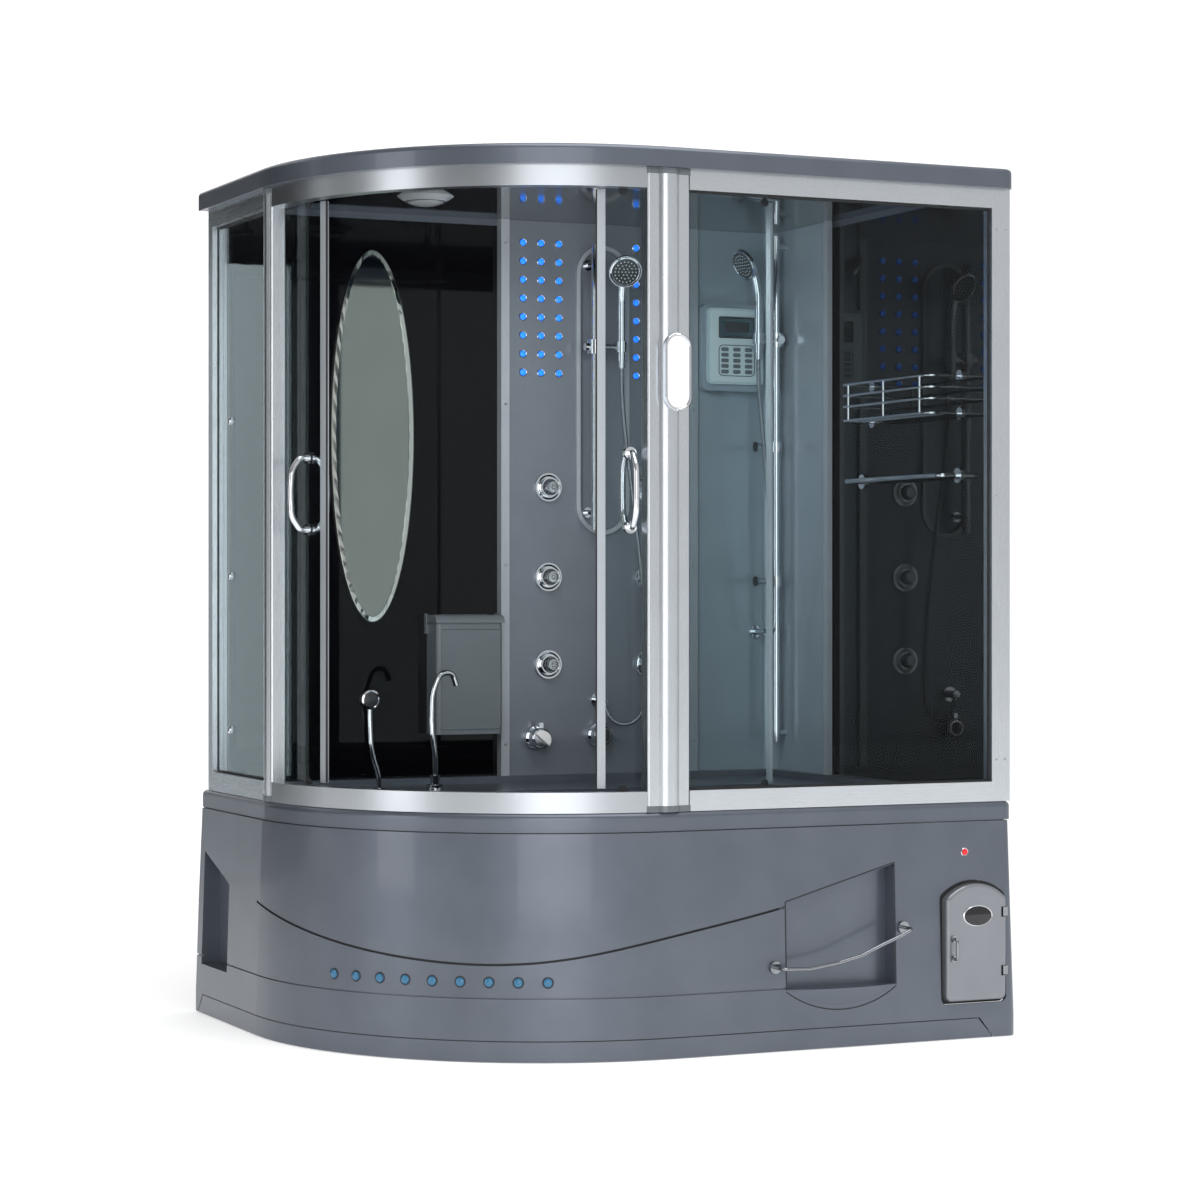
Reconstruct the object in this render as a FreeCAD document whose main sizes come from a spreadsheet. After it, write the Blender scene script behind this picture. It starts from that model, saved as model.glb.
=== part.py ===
"""Steam shower cabin: a corner bath with a glass enclosure, built as separate named pieces.

Frame: +X is width, +Y is depth (the front faces -Y), +Z is up, millimetres.
The origin is at the middle of the footprint, on the floor.
The plan is a rectangle whose front left corner is a quarter circle. Every curved piece
(apron, tub rim, rails, tracks, doors, roof) is concentric with that quarter circle.
"""
import FreeCAD, Part
import Sketcher
import math
import os
import re
from types import SimpleNamespace

os.makedirs("parts", exist_ok=True)
doc = FreeCAD.newDocument("steam_shower_cabin")
Vector = FreeCAD.Vector

# ---------------------------------------------------------------- driving dimensions
# The overall size and everything that several pieces share. The sheet binds the sketches
# and primitives; the free-form pieces read the same numbers through dim.
DIMENSIONS = {
    # overall
    "overall_width": 1760, "overall_depth": 1320, "overall_height": 2200,
    # plan: the quarter circle of the glass line, and how far each layer stands out of it
    "arc_x": -80, "arc_y": 140, "glass_radius": 750,
    "plinth_out": 50, "apron_top_out": 34, "rim_out": 28, "roof_out": 40, "corner_round": 30,
    "plan_shift": 23,
    # heights
    "ground_gap": 2, "groove_low": 53, "groove_mid": 152, "lip_bottom": 548, "deck_top": 594,
    "ledge_top": 613, "rail_depth": 50, "roof_bottom": 2150, "ceiling": 2170,
    # shells and glass
    "skin": 8, "deck_skin": 8, "glass_thick": 6, "rail_thick": 40,
    "wall_inner_x": 868, "wall_inner_y": 636,
    # tub basin
    "basin_inset": 90, "basin_right_x": 640, "basin_back_y": 260, "basin_bottom": 170, "basin_round": 110,
    # posts
    "post_centre_x": -90, "post_centre_w": 112, "post_side_w": 60, "post_depth": 40,
    "post_bow_r": 35, "post_bow_w": 54, "post_right_x": 821,
    # sliding doors
    "door_radius": 712, "door_angle": 42.5, "door_rest_right": 13.5, "door_rest_left": 73.5,
    "door_stile_w": 20, "door_stile_t": 14, "door_gap": 6, "track_t": 22, "track_h": 14,
    "track_over": 31,
    # main shower column on the back wall
    "column_left": 15, "column_right": 577, "column_t": 18, "trim_w": 25, "trim_t": 30,
    "column_middle_x": 304,
    # corner panel and its bar
    "corner_left": 603, "corner_side_y": 297, "corner_t": 18, "side_bar_x": 820,
    "side_bar_y": 538, "side_bar_r": 11,
    # cooler door in the apron
    "cooler_left": 663, "cooler_right": 837, "cooler_bottom": 97, "cooler_top": 392,
    "cooler_depth": 240, "cooler_leaf_t": 26,
    # storage niche in the apron
    "niche_left": 219, "niche_right": 523, "niche_depth": 45, "niche_floor": 150,
}
dim = SimpleNamespace(**DIMENSIONS)
sheet = doc.addObject("Spreadsheet::Sheet", "dims")
for row, (alias, value) in enumerate(DIMENSIONS.items(), start=1):
    sheet.set(f"A{row}", alias)
    sheet.set(f"B{row}", str(value))
    sheet.setAlias(f"B{row}", alias)
doc.recompute()

ALIAS = re.compile(r"\b(" + "|".join(DIMENSIONS) + r")\b")
FRONT_Y = dim.arc_y - dim.glass_radius      # the straight front glass line
LEFT_X = dim.arc_x - dim.glass_radius       # the straight left glass line
EDGE_X = dim.overall_width / 2
EDGE_Y = dim.overall_depth / 2
RAIL_BOTTOM_TOP = dim.deck_top + dim.rail_depth
RAIL_TOP_BOTTOM = dim.roof_bottom - dim.rail_depth
pieces = []


# ---------------------------------------------------------------- helpers
def expression(text):
    """A formula over the sheet's aliases, in the form that a property takes."""
    return ALIAS.sub(r"dims.\1", text)


def bind(thing, **formulas):
    for prop, text in formulas.items():
        thing.setExpression(prop.replace("__", "."), expression(str(text)))


def place(thing, x, y, z):
    bind(thing, Placement__Base__x=x, Placement__Base__y=y, Placement__Base__z=z)


def box(size, at):
    """A block from its lowest corner; sizes and places are formulas or numbers."""
    made = doc.addObject("Part::Box", "block")
    bind(made, Length=size[0], Width=size[1], Height=size[2])
    place(made, *at)
    return made


def cylinder(radius, length, at, axis=(0, 0, 1), angle=360):
    made = doc.addObject("Part::Cylinder", "round")
    made.Placement.Rotation = FreeCAD.Rotation(Vector(0, 0, 1), Vector(*axis))
    bind(made, Radius=radius, Height=length)
    made.Angle = angle
    place(made, *at)
    return made


def cut(base, *tools):
    made = base
    for tool in tools:
        step = doc.addObject("Part::Cut", "cut")
        step.Base = made
        step.Tool = tool
        made = step
    return made


def fuse(*things):
    made = doc.addObject("Part::MultiFuse", "fuse")
    made.Shapes = list(things)
    return made


def common(first, second):
    made = doc.addObject("Part::MultiCommon", "common")
    made.Shapes = [first, second]
    return made


def group(*things):
    made = doc.addObject("Part::Compound", "group")
    made.Links = list(things)
    return made


def feature(shape, name="form"):
    made = doc.addObject("Part::Feature", name)
    made.Shape = shape
    return made


def rounded(base, radius, chosen):
    """Fillet the edges of a finished solid that the chosen test picks."""
    doc.recompute()
    made = doc.addObject("Part::Fillet", "rounded")
    made.Base = base
    made.Edges = [(i, radius, radius) for i, e in enumerate(base.Shape.Edges, 1) if chosen(e)]
    return made


def piece(label, made):
    """Name a finished sub-part and put it in the part's frame.

    The plan is drawn about the middle of the walls' footprint. The towel rail stands out in
    front of it, so the middle of the whole part, which is the origin, is moved by plan_shift.
    """
    placed = group(made)
    placed.Label = label
    bind(placed, Placement__Base__y="plan_shift")
    pieces.append(placed)
    return placed


def arc_points(radius, angle_deg):
    """The point at an angle round the quarter circle: 0 faces the front, 90 the left side."""
    a = math.radians(angle_deg)
    return dim.arc_x - radius * math.sin(a), dim.arc_y - radius * math.cos(a)


def sector(inner, outer, low, high, start, end):
    """A curved slab about the quarter circle's centre, from one angle to another."""
    made = []
    for radius in (outer, inner):
        body = doc.addObject("Part::Cylinder", "sector")
        bind(body, Radius=radius, Height=f"({high}) - ({low})", Angle=end - start)
        body.Placement.Rotation = FreeCAD.Rotation(Vector(0, 0, 1), 270 - end)
        place(body, "arc_x", "arc_y", low)
        made.append(body)
    return cut(*made)


def rod_path(points, bend=0.45, radius=None):
    """Straight runs joined by tangent arcs; returns the wire and the arcs' radii."""
    pts = [Vector(*p) for p in points]
    edges, radii, here = [], [], pts[0]
    for before, corner, after in zip(pts, pts[1:], pts[2:]):
        back, ahead = before - corner, after - corner
        shorter = min(back.Length, ahead.Length)
        turn = math.pi - back.getAngle(ahead)
        r = bend * shorter / math.tan(turn / 2) if radius is None else radius
        reach = r * math.tan(turn / 2)
        back.normalize()
        ahead.normalize()
        start, end = corner + back * reach, corner + ahead * reach
        inward = (back + ahead).normalize()
        middle = corner + inward * (math.hypot(r, reach) - r)
        if (start - here).Length > 1e-6:
            edges.append(Part.LineSegment(here, start).toShape())
        edges.append(Part.Arc(start, middle, end).toShape())
        radii.append(r)
        here = end
    edges.append(Part.LineSegment(here, pts[-1]).toShape())
    return Part.Wire(edges), radii


def rod(points, diameter, bend=0.45, radius=None):
    """A round bar or tube swept along runs and arcs, as one solid."""
    wire, radii = rod_path(points, bend, radius)
    start, ahead = Vector(*points[0]), Vector(*points[1]) - Vector(*points[0])
    profile = Part.Wire([Part.Circle(start, ahead, diameter / 2).toShape()])
    solid = wire.makePipeShell([profile], True, False)
    expected = math.pi * diameter ** 2 / 4 * wire.Length
    if abs(solid.Volume / expected - 1) > 0.02:
        raise ValueError(f"a swept rod lost its shape near {points[0]}")
    return solid, radii


def disc(radius, length, at, axis):
    return Part.makeCylinder(radius, length, Vector(*at), Vector(*axis))


# ---------------------------------------------------------------- plan outlines
def plan_sketch(body, name, out, right="overall_width / 2", back="overall_depth / 2",
                corner="corner_round", z=0.0):
    """The cabin's outline, offset outwards from the glass line, as a constrained sketch.

    The five straight sides and the two round corners are tangent; the big arc stays
    concentric with the glass whatever the offset.
    """
    doc.recompute()
    s = body.newObject("Sketcher::SketchObject", name)
    plane = [f for f in body.Origin.OriginFeatures if f.Role == "XY_Plane"][0]
    s.AttachmentSupport = (plane, "")
    s.MapMode = "FlatFace"
    s.AttachmentOffset = FreeCAD.Placement(Vector(0, 0, z), FreeCAD.Rotation())
    offset = plan_value(out)
    right_x, back_y, rc = plan_value(right), plan_value(back), plan_value(corner)
    radius = dim.glass_radius + offset
    front_y, left_x = dim.arc_y - radius, dim.arc_x - radius
    centre, turn = Vector(dim.arc_x, dim.arc_y), Vector(right_x - rc, front_y + rc)
    up = Vector(0, 0, 1)
    shapes = [
        Part.LineSegment(Vector(dim.arc_x, front_y), Vector(right_x - rc, front_y)),
        Part.ArcOfCircle(Part.Circle(turn, up, rc), -math.pi / 2, 0),
        Part.LineSegment(Vector(right_x, front_y + rc), Vector(right_x, back_y)),
        Part.LineSegment(Vector(right_x, back_y), Vector(left_x, back_y)),
        Part.LineSegment(Vector(left_x, back_y), Vector(left_x, dim.arc_y)),
        Part.ArcOfCircle(Part.Circle(centre, up, radius), math.pi, 1.5 * math.pi),
    ]
    s.addGeometry(shapes, False)
    C = Sketcher.Constraint
    s.addConstraint([
        C("Tangent", 0, 2, 1, 1), C("Tangent", 1, 2, 2, 1), C("Coincident", 2, 2, 3, 1),
        C("Coincident", 3, 2, 4, 1), C("Tangent", 4, 2, 5, 1), C("Tangent", 5, 2, 0, 1),
        C("Horizontal", 0), C("Vertical", 2), C("Horizontal", 3), C("Vertical", 4),
    ])
    sizes = [
        (C("Radius", 5, radius), f"glass_radius + ({out})"),
        (C("DistanceX", 5, 3, -1, 1, -dim.arc_x), "-arc_x"),
        (C("DistanceY", -1, 1, 5, 3, dim.arc_y), "arc_y"),
        (C("Radius", 1, rc), corner),
        (C("DistanceX", -1, 1, 2, 2, right_x), right),
        (C("DistanceY", -1, 1, 3, 1, back_y), back),
    ]
    for constraint, text in sizes:
        index = s.addConstraint(constraint)
        s.setExpression(f"Constraints[{index}]", expression(text))
    return s


def plan_value(text):
    """The number behind a short plan formula: a sum, difference or half of aliases."""
    total, sign = 0.0, 1
    for word in str(text).replace("/ 2", "/2").split():
        if word in "+-":
            sign = 1 if word == "+" else -1
            continue
        name, half = word.replace("/2", ""), word.endswith("/2")
        if name == "":
            total /= 2
            continue
        value = DIMENSIONS[name] if name in DIMENSIONS else float(name)
        total += sign * (value / 2 if half else value)
    return total


def pad(body, sketch, height, taper=0.0, label="Pad"):
    made = body.newObject("PartDesign::Pad", label)
    made.Profile = sketch
    bind(made, Length=height)
    made.TaperAngle = taper
    sketch.Visibility = False
    return made


def pocket(body, sketch, depth, upward=True, taper=0.0):
    made = body.newObject("PartDesign::Pocket", "Pocket")
    made.Profile = sketch
    bind(made, Length=depth)
    made.Reversed = upward
    made.TaperAngle = taper
    doc.recompute()
    return made


def plan_slab(name, out, low, high, taper=0.0, **sides):
    """A slab with the cabin's outline between two heights."""
    body = doc.addObject("PartDesign::Body", name)
    sketch = plan_sketch(body, f"{name}_plan", out, z=plan_value(low), **sides)
    pad(body, sketch, f"({high}) - ({low})", taper)
    return body


# ---------------------------------------------------------------- swoosh on the apron
# A long curved groove crosses the apron. Its curve is drawn on an upright plane that faces
# the round corner, and swept straight back through the apron's skin.
DIAGONAL = Vector(1, 1, 0).normalize()
ACROSS = Vector(1, -1, 0).normalize()


def diagonal_point(t, z, back=-1200):
    """A point on the upright plane, t along it and z up."""
    middle = Vector(dim.arc_x, FRONT_Y, 0)
    return middle + ACROSS * t + DIAGONAL * back + Vector(0, 0, z)


def diagonal_prism(corners, curve=()):
    """A tool swept along the diagonal, bounded by an optional smooth curve and corners."""
    edges = []
    points = [diagonal_point(*c) for c in corners]
    if curve:
        spline = Part.BSplineCurve()
        spline.interpolate([diagonal_point(*c) for c in curve])
        edges.append(spline.toShape())
        points = [diagonal_point(*curve[-1])] + points + [diagonal_point(*curve[0])]
    else:
        points.append(points[0])
    edges += [Part.LineSegment(a, b).toShape() for a, b in zip(points, points[1:])]
    return Part.Face(Part.Wire(edges)).extrude(DIAGONAL * 3200)


SWOOSH = [(-1105, 342), (-858, 287), (-519, 242), (-205, 248), (47, 304), (241, 357),
          (453, 447)]
SWOOSH_WIDTH = 6

# ---------------------------------------------------------------- apron and plinth
APRON_TAPER = math.degrees(math.atan2(dim.plinth_out - dim.apron_top_out,
                                      dim.lip_bottom - dim.groove_low))


def apron_layer(name, inset):
    """The apron's outer form, leaning in towards the tub's lip, set back by an inset."""
    lower = plan_slab(f"{name}_low", f"plinth_out - {inset}", "ground_gap", "groove_low + 1",
                      right=f"overall_width / 2 - {inset}")
    upper = plan_slab(f"{name}_up", f"plinth_out - {inset}", "groove_low + 1",
                      "lip_bottom - 2", taper=-APRON_TAPER,
                      right=f"overall_width / 2 - {inset}")
    return fuse(lower, upper)


def swoosh_groove():
    """The band under the curve, as wide as the groove, swept through the apron."""
    lower = [(t, z - SWOOSH_WIDTH) for t, z in SWOOSH]
    lines = []
    for curve in (SWOOSH, lower):
        spline = Part.BSplineCurve()
        spline.interpolate([diagonal_point(*c) for c in curve])
        lines.append(spline.toShape())
    ends = [Part.LineSegment(diagonal_point(*SWOOSH[i]), diagonal_point(*lower[i])).toShape()
            for i in (0, -1)]
    outline = Part.Wire(Part.__sortEdges__(lines + ends))
    return Part.Face(outline).extrude(DIAGONAL * 3200)


def apron():
    outer = apron_layer("apron_outer", 0)
    inner = apron_layer("apron_inner", dim.skin)
    swoosh = common(cut(apron_layer("groove_front", -4), apron_layer("groove_back", 5.5)),
                    feature(swoosh_groove()))
    shell = cut(outer, inner)
    # the two wall sides stay open, apart from a short return at the front right corner
    open_right = box((200, "overall_depth", 700), (f"{EDGE_X - 60}", f"{FRONT_Y + 10}", -10))
    open_back = box(("overall_width + 100", 200, 700),
                    ("-overall_width / 2 - 50", f"{EDGE_Y - 8}", -10))
    # recesses: closed boxes behind the skin, then hollowed
    cheek, back_wall_t = 6, 6
    deep = f"niche_depth + {back_wall_t}"
    niche_box = box((f"niche_right - niche_left + {2 * cheek}", deep, 330),
                    (f"niche_left - {cheek}", f"{FRONT_Y - 42}", "niche_floor - 12"))
    niche_roof = feature(Part.Face(Part.makePolygon([
        Vector(dim.niche_left - 60, FRONT_Y - 80, 364 - 17.5),
        Vector(dim.niche_right + 60, FRONT_Y - 80, 447 + 17.5),
        Vector(dim.niche_right + 60, FRONT_Y - 80, 700),
        Vector(dim.niche_left - 60, FRONT_Y - 80, 700),
        Vector(dim.niche_left - 60, FRONT_Y - 80, 364 - 17.5)])).extrude(Vector(0, 170, 0)))
    niche_cap = feature(niche_roof.Shape.translated(Vector(0, 0, cheek)))
    niche_hole = cut(box(("niche_right - niche_left", "niche_depth + 28", 330),
                         ("niche_left", f"{FRONT_Y - 70}", "niche_floor")), niche_roof)
    side_box = box((51, 232, 330), (f"{LEFT_X - 42}", 384, 126))
    side_roof = feature(Part.Face(Part.makePolygon([
        Vector(LEFT_X - 90, 330, 362 - 19), Vector(LEFT_X - 90, 660, 430 + 20),
        Vector(LEFT_X - 90, 660, 700), Vector(LEFT_X - 90, 330, 700),
        Vector(LEFT_X - 90, 330, 362 - 19)])).extrude(Vector(170, 0, 0)))
    side_cap = feature(side_roof.Shape.translated(Vector(0, 0, cheek)))
    side_hole = cut(box((115, 220, 330), (f"{LEFT_X - 112}", 390, 132)), side_roof)
    niche_shell = cut(niche_box, niche_cap)
    side_shell = cut(side_box, side_cap)
    made = fuse(cut(shell, open_right, open_back), common(niche_shell, inner),
                common(side_shell, inner))
    bowl = feature(ledge_bowl())
    cooler = feature(cooler_face(8, 120, FRONT_Y - 90))
    made = cut(fuse(made, bowl), niche_hole, side_hole, cooler, swoosh,
               feature(groove_tool()), feature(plinth_prism(0)), feature(lamp_holes()))
    piece("apron", made)
    strip = cut(apron_layer("plinth_outer", 0), apron_layer("plinth_inner", 5))
    piece("plinth_panel", common(cut(strip, open_right, open_back),
                                 feature(plinth_prism(2.5))))


def ledge_bowl():
    """The bowl-shaped shelf front under the right niche: a slice of a large ball."""
    middle_x = (dim.niche_left + dim.niche_right) / 2
    half, drop, swell = (dim.niche_right - dim.niche_left) / 2 + 4, 52, 30
    across = (half ** 2 + drop ** 2) / (2 * drop)
    level = (half ** 2 + swell ** 2) / (2 * swell)
    up = across - drop
    centre = Vector(middle_x, FRONT_Y - 43 + level - swell, dim.niche_floor + up)
    ball = Part.makeSphere(math.hypot(level, up), centre)
    return ball.common(Part.makeBox(400, 63, 80, Vector(
        middle_x - 200, FRONT_Y - 102, dim.niche_floor - 80)))


def groove_tool():
    """The shallow decorative groove at mid height, from the left side to the niche."""
    reach = dim.glass_radius + dim.plinth_out
    ring = Part.makeCylinder(reach + 30, 4, Vector(dim.arc_x, dim.arc_y, dim.groove_mid))
    ring = ring.cut(Part.makeCylinder(reach - 8, 4, Vector(dim.arc_x, dim.arc_y,
                                                            dim.groove_mid)))
    quarter = Part.makeBox(900, 900, 10, Vector(dim.arc_x - 900, dim.arc_y - 900,
                                                dim.groove_mid - 3))
    front = Part.makeBox(dim.niche_left - dim.arc_x, 40, 4,
                         Vector(dim.arc_x, dim.arc_y - reach - 32, dim.groove_mid))
    side = Part.makeBox(40, 560, 4, Vector(dim.arc_x - reach - 32, dim.arc_y,
                                           dim.groove_mid))
    return ring.common(quarter).fuse([front, side])


def plinth_prism(gap):
    """The removable plinth strip's place, with its two slanted ends."""
    top = dim.groove_low - gap
    return diagonal_prism([(-1450 + gap, -5), (-1416 + gap, top), (633 - gap, top),
                           (667 - gap, -5)])


LAMP_ANGLES = [64 - 5.11 * i for i in range(9)]
LAMP_Z, LAMP_R = 192, 11


def lamp_axis(angle):
    x, y = arc_points(1, angle)
    return Vector(x - dim.arc_x, y - dim.arc_y, 0)


def lamp_holes():
    holes = []
    for angle in LAMP_ANGLES:
        x, y = arc_points(dim.glass_radius + 20, angle)
        holes.append(disc(LAMP_R + 0.2, 60, (x, y, LAMP_Z), lamp_axis(angle)))
    holes.append(disc(8.2, 60, (730, FRONT_Y - 10, 470), (0, -1, 0)))
    return Part.makeCompound(holes)


def apron_lamps():
    """Nine blue lenses in a row and one red indicator lens above the cooler."""
    lenses = []
    for angle in LAMP_ANGLES:
        x, y = arc_points(dim.glass_radius + 33, angle)
        lens = disc(LAMP_R, 13.5, (x, y, LAMP_Z), lamp_axis(angle))
        lenses.append(lens.fuse(Part.makeSphere(14, Vector(*arc_points(
            dim.glass_radius + 37, angle), LAMP_Z)).common(disc(
                LAMP_R, 40, (x, y, LAMP_Z), lamp_axis(angle)))).removeSplitter())
    red = disc(8, 20, (730, FRONT_Y - 20, 470), (0, -1, 0))
    piece("apron_lamps", feature(Part.makeCompound(lenses + [red])))


# ---------------------------------------------------------------- tub, frame and services
WASTE_AT = (300, 100)


def tub_shell():
    body = doc.addObject("PartDesign::Body", "tub_body")
    rim = plan_sketch(body, "rim_plan", "rim_out", z=dim.lip_bottom)
    pad(body, rim, "deck_top - lip_bottom")
    under = plan_sketch(body, "under_plan", "rim_out - deck_skin",
                        right="overall_width / 2 - deck_skin",
                        back="overall_depth / 2 - deck_skin", z=dim.lip_bottom)
    pocket(body, under, "deck_top - deck_skin - lip_bottom")
    outer = plan_sketch(body, "basin_outer", "0 - basin_inset + deck_skin",
                        right="basin_right_x + deck_skin",
                        back="basin_back_y + deck_skin", corner="basin_round",
                        z=dim.basin_bottom - dim.deck_skin)
    pad(body, outer, "deck_top - basin_bottom")
    inner = plan_sketch(body, "basin_inner", "0 - basin_inset",
                        right="basin_right_x",
                        back="basin_back_y", corner="basin_round",
                        z=dim.basin_bottom)
    pocket(body, inner, "deck_top - basin_bottom + 5")
    ledge = fuse(
        box((f"wall_inner_x + {-LEFT_X - 30}", 60, "ledge_top - deck_top"),
            (f"{LEFT_X + 30}", "wall_inner_y - 40", "deck_top")),
        box((52, "wall_inner_y - 16 + 560", "ledge_top - deck_top"),
            ("wall_inner_x - 40", -560, "deck_top")))
    waste = cylinder(24, 40, (*WASTE_AT, "basin_bottom - 20"))
    whole = cut(fuse(body, ledge), waste)
    doc.recompute()

    def rim_edge(e):
        b = e.BoundBox
        flat = abs(b.ZMin - dim.deck_top) < 0.1 and abs(b.ZMax - dim.deck_top) < 0.1
        outside = b.YMin < FRONT_Y - 20 or b.XMin < LEFT_X - 20
        return flat and outside and not (b.XMin > EDGE_X - 1 or b.YMin > EDGE_Y - 1)

    piece("tub_shell", rounded(whole, 14, rim_edge))


FEET = [(-690, 600), (-80, 600), (560, 600), (-540, -60), (-80, -520), (560, -520),
        (730, 270), (-690, 270)]


def base_frame():
    """A steel frame under the tub: 30 mm square tubes butted together, on threaded legs."""
    tube, low = 30, 96
    top = low + tube
    bars = [box((1450, tube, tube), (-690, y, low)) for y in (270, 600)]
    bars += [box((700, tube, tube), (-120, -520, low)), box((1300, tube, tube), (-540, -60, low))]
    bars += [box((tube, 300, tube), (x, 300, low)) for x in (-690, -80, 560)]
    bars += [box((tube, span, tube), (x, y, low)) for x in (-80, 560)
             for y, span in ((-490, 430), (-30, 300))]
    bars += [box((tube, tube, f"deck_top - deck_skin - {top}"), (x, y, top))
             for x, y in ((-690, 600), (-80, 600), (560, 600), (-690, 270), (730, 270))]
    bars += [box((80, tube, f"basin_bottom - deck_skin - {top}"), (x, -60, top))
             for x in (-400, 0, 460)]
    bars += [cylinder(9, low - 20, (x + 15, y + 15, 20)) for x, y in FEET]
    piece("base_frame", group(*bars))


def levelling_feet():
    feet = [fuse(cylinder(30, 12, (x + 15, y + 15, 0)), cylinder(14, 8, (x + 15, y + 15, 12)))
            for x, y in FEET]
    piece("levelling_feet", group(*feet))


def waste_trap():
    """Waste with its bottle trap under the basin; its outlet points back to the wall."""
    at = WASTE_AT
    body = [disc(34, 4, (*at, dim.basin_bottom), (0, 0, 1)),
            disc(23.5, 62, (*at, dim.basin_bottom - 60), (0, 0, 1)),
            disc(30, 80, (*at, 32), (0, 0, 1)),
            disc(23, 60, (*at, 58), (0, 1, 0)),
            disc(20, 320, (*at, 58), (0, 1, 0))]
    piece("waste_trap", feature(body[0].multiFuse(body[1:]).removeSplitter()))


def steam_generator():
    """The steam boiler stands behind the basin under the deck, with its outlet pipe."""
    tank = Part.makeBox(360, 170, 230, Vector(60, 360, 140))
    tank = tank.makeFillet(12, [e for e in tank.Edges if e.Length > 229])
    pipe, _ = rod([(240, 440, 365), (240, 440, 440), (240, 560, 500), (240, 560, 560)], 22,
                  radius=30)
    piece("steam_generator", feature(tank.fuse(pipe).removeSplitter()))


INLETS = {"hot": (-320, 440), "cold": (-200, 440)}


def water_inlets():
    """Two half inch threaded stubs on a bracket under the deck, pointing at the room wall."""
    bracket = Part.makeBox(330, 6, 60, Vector(-380, 594, 410))
    stubs = []
    for x, z in INLETS.values():
        stub = disc(10.48, 50, (x, 600, z), (0, 1, 0))
        nut = disc(16, 10, (x, 600, z), (0, 1, 0))
        bend, _ = rod([(x, 596, z), (x, 565, z), (x, 565, 520)], 16, radius=20)
        stubs.append(stub.multiFuse([nut, bend]).removeSplitter())
    piece("water_inlets", feature(bracket.multiFuse(stubs).removeSplitter()))


# ---------------------------------------------------------------- apron fittings
def apron_face_y(z):
    """Where the apron's leaning front face is at a height."""
    lean = math.tan(math.radians(APRON_TAPER)) * (z - dim.groove_low - 1)
    return FRONT_Y - dim.plinth_out + lean


def apron_rail():
    """The slim S-curved towel rail across the niche, on two round brackets."""
    y = FRONT_Y - 91.5
    feet = [(185, 207, apron_face_y(192)), (547, 289, apron_face_y(274))]
    (x0, z0, y0), (x1, z1, y1) = feet
    path = [(x0, y0 - 3, z0), (x0, y, z0), (260, y, 205), (340, y, 216), (402, y, 230),
            (455, y, 252), (509, y, 272), (x1, y, z1), (x1, y1 - 3, z1)]
    bar, _ = rod(path, 9, radius=12)
    roses = [disc(15, 7, (x, foot - 0.05, z), (0, -1, 0)) for x, z, foot in feet]
    piece("apron_rail", feature(bar.multiFuse(roses).removeSplitter()))


def cooler_face(grow, depth, at_y):
    """An upright slab with the cooler's arched top, grown by an edge allowance."""
    left, right = dim.cooler_left - grow, dim.cooler_right + grow
    low, high = dim.cooler_bottom - grow, dim.cooler_top + grow
    shoulder, middle = 38, (left + right) / 2
    points = [Vector(left, 0, low), Vector(left, 0, high - shoulder)]
    arch = Part.Arc(Vector(left, 0, high - shoulder), Vector(middle, 0, high),
                    Vector(right, 0, high - shoulder)).toShape()
    down = [Part.LineSegment(a, b).toShape() for a, b in (
        (Vector(right, 0, high - shoulder), Vector(right, 0, low)),
        (Vector(right, 0, low), points[0]), (points[0], points[1]))]
    slab = Part.Face(Part.Wire([arch] + down)).extrude(Vector(0, depth, 0))
    slab = slab.makeFillet(16, [e for e in slab.Edges if abs(e.Length - depth) < 0.1])
    slab.translate(Vector(0, at_y, 0))
    return slab


COOLER_FACE_Y = FRONT_Y - dim.plinth_out + 2


def cooler():
    frame = cooler_face(5, 60, COOLER_FACE_Y + 12)
    body = cooler_face(-4, dim.cooler_depth, COOLER_FACE_Y + 72)
    hollow = cooler_face(-14, dim.cooler_depth + 40, COOLER_FACE_Y)
    liner = frame.fuse(body).cut(hollow)
    piece("cooler_liner", feature(liner.removeSplitter()))
    leaf = cooler_face(0, dim.cooler_leaf_t, COOLER_FACE_Y - 16)
    front_edges = [e for e in leaf.Edges if e.BoundBox.YMax < COOLER_FACE_Y - 15.9]
    leaf = leaf.makeFillet(9, front_edges)
    knuckle_room = Part.makeCompound([Part.makeBox(24, 24, 26, Vector(
        dim.cooler_right - 16, COOLER_FACE_Y - 18, z - 13)) for z in COOLER_HINGE_Z])
    piece("cooler_door", feature(leaf.cut(knuckle_room).removeSplitter()))
    hinge_y = COOLER_FACE_Y - 7
    knuckles = []
    for z in COOLER_HINGE_Z:
        barrel = disc(7, 22, (COOLER_AXIS_X, hinge_y, z - 11), (0, 0, 1))
        strap = Part.makeBox(10, 5, 22, Vector(COOLER_AXIS_X, hinge_y - 2, z - 11))
        flange = Part.makeBox(6, 20.9, 22, Vector(COOLER_AXIS_X + 4, hinge_y - 2, z - 11))
        knuckles.append(barrel.multiFuse([strap, flange]).removeSplitter())
    piece("cooler_hinges", feature(Part.makeCompound(knuckles)))
    grip, _ = rod([(682, COOLER_FACE_Y - 17, 205), (682, COOLER_FACE_Y - 34, 205),
                   (682, COOLER_FACE_Y - 34, 255), (682, COOLER_FACE_Y - 17, 255)], 8,
                  radius=9)
    plates = [disc(9, 4, (682, COOLER_FACE_Y - 16.2, z), (0, -1, 0)) for z in (205, 255)]
    piece("cooler_latch", feature(grip.multiFuse(plates).removeSplitter()))


COOLER_HINGE_Z = (170, 318)
COOLER_AXIS_X = dim.cooler_right - 2


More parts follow.
